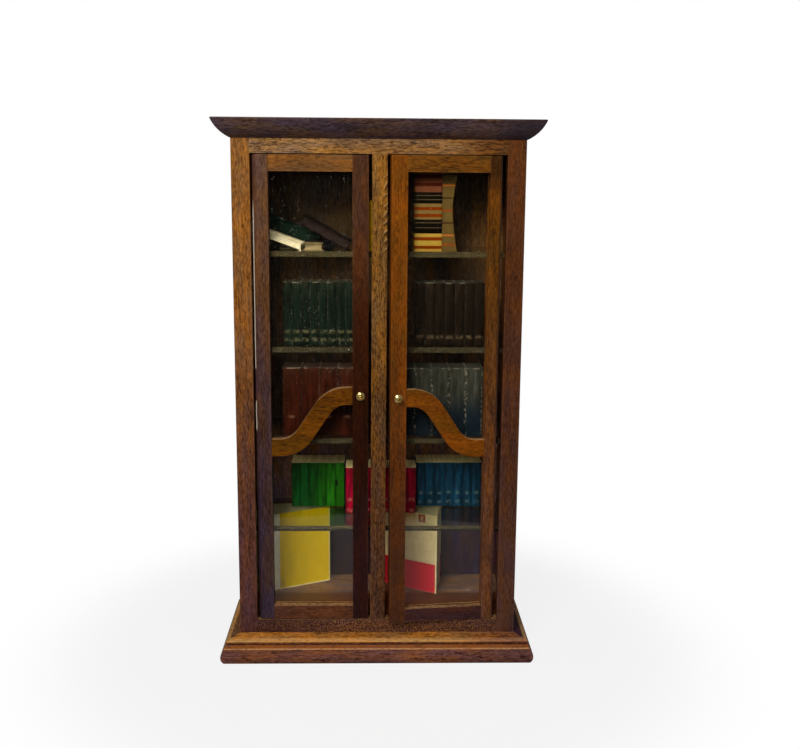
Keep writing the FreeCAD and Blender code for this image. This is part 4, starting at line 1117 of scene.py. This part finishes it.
def shape_flap(corner, height):
    """Share s goes across, t goes up: y = behind + bow sin^2(pi s / 2) + wave s sin(9 t)."""
    levels, across = 25, 9
    rise, share = np.linspace(0, 1, levels), np.linspace(0, 1, across)
    wide = np.interp(rise, FLAP_UP, FLAP_WIDE)
    out = (FLAP_BEHIND + FLAP_BOW * np.sin(math.pi / 2 * share) ** 2
           + FLAP_WAVE * np.sin(9 * rise)[:, None] * share)
    sheet = np.zeros((levels, 2 * across, 3))
    front, back = sheet[:, :across], sheet[:, across:]
    front[:, :, 0] = corner[0] + wide[:, None] * share
    front[:, :, 1] = corner[1] + out
    back[:, :, :2] = front[:, ::-1, :2]
    back[:, :, 1] += FLAP_THICK
    sheet[:, :, 2] = corner[2] + rise[:, None] * height
    faces = tube_faces(levels, 2 * across).tolist()
    last = (levels - 1) * 2 * across
    for k in range(across - 1):
        end = [k, k + 1, 2 * across - 2 - k, 2 * across - 1 - k]
        faces += [end[::-1], [last + point for point in end]]
    return sheet.reshape(-1, 3), faces


_, corner, _, size, _, _ = next(single for single in SINGLES if single[0] == "book_striped")
flap = add_piece("book_striped_wrapper", [shape_flap(corner, size[2])], "cabinet")
dress(flap, cover_finish("wrapper_paper", (98, 78, 38), tuple(part * MM for part in corner),
                         (0.0, 0.0, math.pi / 2),
                         [(start, start + 0.5, tint) for start, tint in FLAP_LINES]))
print(f"wrapper with {len(flap.data.polygons)} faces")

# %% [markdown]
# ## The stage
# The cabinet stands on a plain pale floor. The floor is a disc that fades to white at its
# rim for the camera, so that no horizon shows, and the world is white only to the camera and
# behind the cabinet. In front of it the world is dark, as the room was, and so the panes stay
# clear of reflections.

# %% Lay the floor and light the room
FLOOR_RADIUS, FLOOR_CORNERS, FADE_START, FADE_END = 0.17, 96, 0.07, 0.15
ROOM_LIGHT, MIRRORED_LIGHT, ROOM_TINT = 0.16, 0.01, (1.0, 0.985, 0.96, 1.0)
WHITE = (1.0, 1.0, 1.0, 1.0)


def lay_floor():
    """Rings of points: x = r cos a, y = r sin a, with a pole at the middle."""
    radius = np.array((0.06, 0.12, FLOOR_RADIUS))[:, None]
    angle = np.linspace(0, 2 * math.pi, FLOOR_CORNERS, endpoint=False)
    rings = np.stack((radius * np.cos(angle), radius * np.sin(angle), 0 * radius * angle), -1)
    mesh = bpy.data.meshes.new("floor")
    faces = tube_faces(3, FLOOR_CORNERS)[:, ::-1].tolist() + [list(range(FLOOR_CORNERS))]
    mesh.from_pydata(rings.reshape(-1, 3), [], faces)
    floor = bpy.data.objects.new("floor", mesh)
    scene.collection.objects.link(floor)
    material, w, shader = new_finish("floor_pale", roughness=0.6, specular_ior_level=0.3)
    spot = w.add("TexCoord").outputs["Object"]
    pale = w.blend(w.noise(spot, 40.0, 3.0), ink(196, 197, 200), ink(206, 207, 210))
    w.feed(shader, base_color=pale)
    glow = w.add("Emission", {"Color": WHITE, "Strength": 1.0}).outputs[0]
    fade = w.ease(w.arrow("LENGTH", spot), FADE_START, FADE_END)
    seen = w.add("LightPath").outputs["Is Camera Ray"]
    w.close(w.mix(w.times(w.ease(fade, 0.0, 1.0, 0.85, 1.0), seen), shader.outputs[0], glow))
    dress(floor, material)


def light_world():
    """White to the camera; behind the cabinet also white to glass and, by a quarter, to gloss."""
    world = bpy.data.worlds.new("room")
    world.use_nodes = True
    scene.world = world
    w = Wiring(world.node_tree)
    plain = next(node for node in world.node_tree.nodes if node.type == "BACKGROUND")
    plain.inputs["Color"].default_value = ROOM_TINT
    white = w.add("Background", {"Color": WHITE, "Strength": 1.0})
    path = w.add("LightPath").outputs
    behind = w.ease(w.parts(w.add("TexCoord").outputs["Generated"])[1], -0.1, 0.1)
    mirrored = w.sum("MAXIMUM", path["Is Glossy Ray"], path["Is Transmission Ray"])
    through = w.sum("MAXIMUM", path["Is Transmission Ray"], w.times(path["Is Glossy Ray"], 0.25))
    seen = w.sum("MAXIMUM", path["Is Camera Ray"], w.times(through, behind))
    w.give(plain.inputs["Strength"],
           w.sum("MULTIPLY_ADD", mirrored, MIRRORED_LIGHT - ROOM_LIGHT, ROOM_LIGHT))
    w.close(w.mix(seen, plain.outputs[0], white.outputs[0]), "OUTPUT_WORLD")


def add_lamp(name, place, aim, size, power, colour):
    """A square lamp whose own -z looks from its place to what it aims at."""
    lamp = bpy.data.lights.new(name, "AREA")
    lamp.size, lamp.energy, lamp.color = size, power, colour
    holder = bpy.data.objects.new(name, lamp)
    holder.location = place
    holder.rotation_euler = (Vector(aim) - Vector(place)).to_track_quat("-Z", "Y").to_euler()
    scene.collection.objects.link(holder)
    return holder


lay_floor()
light_world()
add_lamp("window", (-0.11, -0.37, 0.34), (0.0, 0.0, 0.10), 0.15, 1.40, (1.0, 0.96, 0.90))
bounce = add_lamp("room_bounce", (0.30, -0.45, 0.12), (0.0, 0.0, 0.07), 0.35, 0.35,
                  (0.90, 0.95, 1.0))
bounce.visible_glossy = bounce.visible_transmission = False
scene.view_settings.view_transform = "Standard"
print("floor laid and lamps hung")
